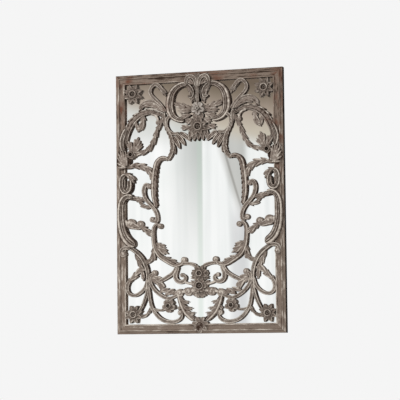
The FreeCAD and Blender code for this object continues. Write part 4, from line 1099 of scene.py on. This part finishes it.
# Places on the curtain: side runs from -1 to 1 across the glass, up from 0 to 1
recipe = Recipe("painted_reflection")
split = recipe.node("SeparateXYZ", [("Vector", recipe.where)]).outputs
side = recipe.plus(recipe.times(split["X"], 2.0), -1.0)
up = split["Z"]
fold_lean = 0.88
hem_place = 0.905
wall_foot = 0.75
slant = recipe.plus(side, recipe.times(up, fold_lean))
from_seam = recipe.combine("ABSOLUTE", side, 0.0)
from_hem = recipe.combine("ABSOLUTE", recipe.plus(slant, -hem_place), 0.0)
# Painted shade of the cloth's folds, as pale and grey streaks from two noises
folds = recipe.noise(7.0, 3.0, 0.55, recipe.stretched((1.0, 1.0, 0.12)))
fine_folds = recipe.noise(26.0, 2.0, 0.5, recipe.stretched((1.0, 1.0, 0.05)))
pleats = recipe.plus(recipe.times(folds, 0.7), recipe.times(fine_folds, 0.3))
cloth = recipe.ramp(pleats, [(0.34, "e9ebeb"), (0.46, "f6f7f7"), (0.58, "fefefe")])

# Painted shade on the cloth at its lap, fold, hem, drape and grey top, and a greenish seam: colour,
# strength and bounding soft steps
fold_steps = [(slant, 0.80, hem_place), (side, 0.60, 0.50), (up, 0.36, 0.54)]
for code, strength, steps in (
    ("969c97", 0.75, [(side, -0.50, 0.02), (side, 0.045, 0.02), (up, 0.10, 0.90)]),
    ("c3d6c8", 0.35, [(from_seam, 0.05, 0.01)]),
    ("a5a29c", 0.60, fold_steps),
    ("86827c", 0.55, [*fold_steps, (from_hem, 0.022, 0.004)]),
    ("b3b1b6", 0.42, [(side, 0.32, 0.42), (side, 0.62, 0.50), (up, 0.52, 0.40)]),
    ("cfd0cc", 0.70, [(up, 0.69, 0.80)]),
):
    cloth = recipe.mix(recipe.within(strength, steps), cloth, code)

# The brown wall above the cloth, with painted shade that is darker towards its top
shade = recipe.plus(recipe.times(recipe.plus(up, -wall_foot), 3.0), recipe.times(side, 0.15))
wall = recipe.ramp(recipe.plus(shade, recipe.swing(folds, 0.2)), [
    (0.12, "cbc1b2"), (0.30, "b4a699"), (0.45, "9a8c7f"), (0.55, "85786a"), (0.66, "726457"),
])
wall_edge = recipe.mask(recipe.plus(up, recipe.times(side, 0.1)), wall_foot, 0.83)
glow = recipe.node("Emission", [("Color", recipe.mix(wall_edge, cloth, wall)), ("Strength", 1.0)])
feed(recipe.tree, recipe.tree.nodes["Material Output"].inputs["Surface"], glow)
painted_reflection.data.materials.append(recipe.material)

# Plain light, with a pale backdrop for the camera, metal and glass
world = bpy.data.worlds.new("studio")
bpy.context.scene.world = world
world.use_nodes = True
tree = world.node_tree
tree.nodes.clear()
rays = add_node(tree, "LightPath").outputs
seen = rays["Is Camera Ray"]
for kind in ("Is Glossy Ray", "Is Transmission Ray"):
    seen = add_node(tree, "Math", [(0, seen), (1, rays[kind])], operation="MAXIMUM")
ambient = add_node(tree, "Background", [("Color", (1.0, 0.98, 0.96, 1.0)), ("Strength", 0.55)])
backdrop = add_node(tree, "Background", [("Color", "f5f5f5"), ("Strength", 1.0)])
blend = add_node(tree, "MixShader", [(0, seen), (1, ambient), (2, backdrop)])
add_node(tree, "OutputWorld", [("Surface", blend)])

# Lamps: name, place, size in metres and power in watts
target = Vector((0.0, 0.0, height / 2))
for name, spot, size, power in (
    ("key", (-2.4, -2.6, 2.6), 1.4, 95.0),
    ("fill", (2.6, -3.4, 0.9), 2.2, 18.0),
    ("rear", (0.8, 3.0, 2.4), 2.2, 45.0),
):
    data = bpy.data.lights.new(name, "AREA")
    data.shape = "SQUARE"
    data.size = size
    data.energy = power
    lamp = add_object(name, data)
    lamp.location = spot
    lamp.rotation_euler = (target - Vector(spot)).to_track_quat("-Z", "Y").to_euler()
    lamp.visible_glossy = False
